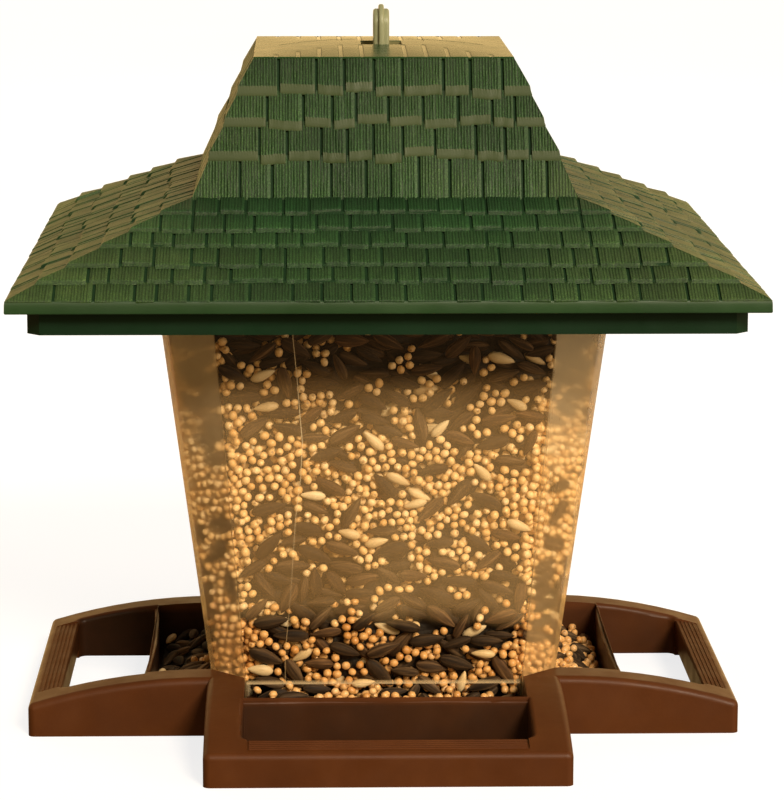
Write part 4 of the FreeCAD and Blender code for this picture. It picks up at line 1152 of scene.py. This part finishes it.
floor_ob.visible_glossy = False
floor_ob.visible_transmission = False
floor_ob.visible_shadow = False

world = bpy.data.worlds.new("studio")
scene.world = world
world.use_nodes = True
wnt = world.node_tree
bg = wnt.nodes["Background"]
wc = wnt.nodes.new("ShaderNodeTexCoord")
wx = wnt.nodes.new("ShaderNodeSeparateXYZ")
wnt.links.new(wc.outputs["Generated"], wx.inputs[0])
sky = ramp(wnt, span(wnt, wx.outputs["Z"], -1, 1, 0, 1),
           [(0.0, (0.10, 0.062, 0.03)), (0.40, (0.20, 0.115, 0.05)), (0.49, (0.30, 0.18, 0.08)), (0.51, (0.80, 0.53, 0.21)),
            (0.60, (0.66, 0.45, 0.20)), (0.70, (0.42, 0.32, 0.18)), (0.82, (0.33, 0.27, 0.18)), (1.0, (0.37, 0.32, 0.24))])
# a warm glow low down behind, more to the right
glow = maths(wnt, "MULTIPLY", span(wnt, wx.outputs["Y"], 0.1, 0.95, 0.0, 1.0), span(wnt, wx.outputs["Z"], 0.62, 0.16, 0.0, 1.0))
glow = maths(wnt, "MULTIPLY", glow, span(wnt, wx.outputs["Z"], 0.0, 0.02, 0.0, 1.0))
side_glow = maths(wnt, "MULTIPLY", span(wnt, wx.outputs["X"], 0.1, 0.7, 0.0, 0.9), span(wnt, wx.outputs["Z"], 0.75, 0.35, 0.0, 1.0))
side_glow = maths(wnt, "MULTIPLY", side_glow, span(wnt, wx.outputs["Z"], 0.0, 0.02, 0.0, 1.0))
glow = maths(wnt, "MAXIMUM", glow, side_glow)
sky = mix(wnt, glow, sky, (1.20, 0.77, 0.30))
# brightest along the horizon behind, and a lit table below it
low = maths(wnt, "MULTIPLY", span(wnt, wx.outputs["Z"], -0.30, -0.15, 0.0, 1.0), span(wnt, wx.outputs["Z"], 0.13, 0.08, 0.0, 1.0))
low = maths(wnt, "MULTIPLY", low, span(wnt, wx.outputs["Y"], 0.6, 0.95, 0.0, 1.0))
sky = mix(wnt, low, sky, (2.75, 1.81, 0.71))
# a little dimmer behind on the left
dim = maths(wnt, "MULTIPLY", span(wnt, wx.outputs["X"], -0.22, -0.06, 1.0, 0.0), span(wnt, wx.outputs["Y"], 0.3, 0.8, 0.0, 1.0))
sky = mix(wnt, dim, sky, mix(wnt, 1.0, sky, (0.82, 0.78, 0.70), "MULTIPLY"))
wnt.links.new(sky, bg.inputs["Color"])
bg.inputs["Strength"].default_value = 1.0


def aim(ob, at, target):
    at, target = Vector(at), Vector(target)
    ob.matrix_world = Matrix.Translation(at) @ (target - at).to_track_quat("-Z", "Y").to_matrix().to_4x4()


def lamp(name, at, target, size, power, colour):
    data = bpy.data.lights.new(name, "AREA")
    data.shape = "RECTANGLE"
    data.size, data.size_y = size
    data.energy = power
    data.color = colour
    ob = bpy.data.objects.new(name, data)
    scene.collection.objects.link(ob)
    aim(ob, at, target)
    return ob


key = bpy.data.lights.new("key", "SUN")
key.energy = 3.6
key.angle = math.radians(16)
key.color = (1.0, 0.86, 0.66)
key_ob = bpy.data.objects.new("key", key)
scene.collection.objects.link(key_ob)
aim(key_ob, (0.317 * 2, -0.786 * 2, 0.531 * 2), (0, 0, 0))
lamp("right", (0.80, -0.62, 0.30), (0.05, 0, 0.09), (0.4, 0.5), 4.2, (1.0, 0.86, 0.66))
lamp("back", (0.5, 1.9, 1.5), (0, 0, 0.12), (1.4, 0.8), 12, (1.0, 0.84, 0.60)).visible_glossy = False
lamp("left", (-0.72, 0.66, 0.24), (-0.03, 0, 0.11), (0.4, 0.5), 4.5, (1.0, 0.86, 0.68)).visible_glossy = False

cam = bpy.data.cameras.new("camera")
cam.sensor_fit = "VERTICAL"
cam.sensor_height = 36.0
cam.lens = 3451.94 * 36.0 / 800.0
cam.clip_start, cam.clip_end = 0.05, 60.0
cam_ob = bpy.data.objects.new("camera", cam)
scene.collection.objects.link(cam_ob)
yaw, pitch, roll = -0.025930, 0.184120, 0.001830
right = Vector((math.cos(yaw), math.sin(yaw), 0))
ahead = Vector((-math.sin(yaw), math.cos(yaw), 0))
up = Vector((0, 0, 1))
look = ahead * math.cos(pitch) - up * math.sin(pitch)
lift = up * math.cos(pitch) + ahead * math.sin(pitch)
r2 = right * math.cos(roll) + lift * math.sin(roll)
u2 = lift * math.cos(roll) - right * math.sin(roll)
cam_ob.matrix_world = Matrix.Translation(Vector((-0.027636, -1.224533, 0.335589))) @ Matrix((r2, u2, -look)).transposed().to_4x4()
scene.camera = cam_ob
scene.view_settings.view_transform = "Standard"
scene.view_settings.look = "None"

bpy.context.view_layer.update()
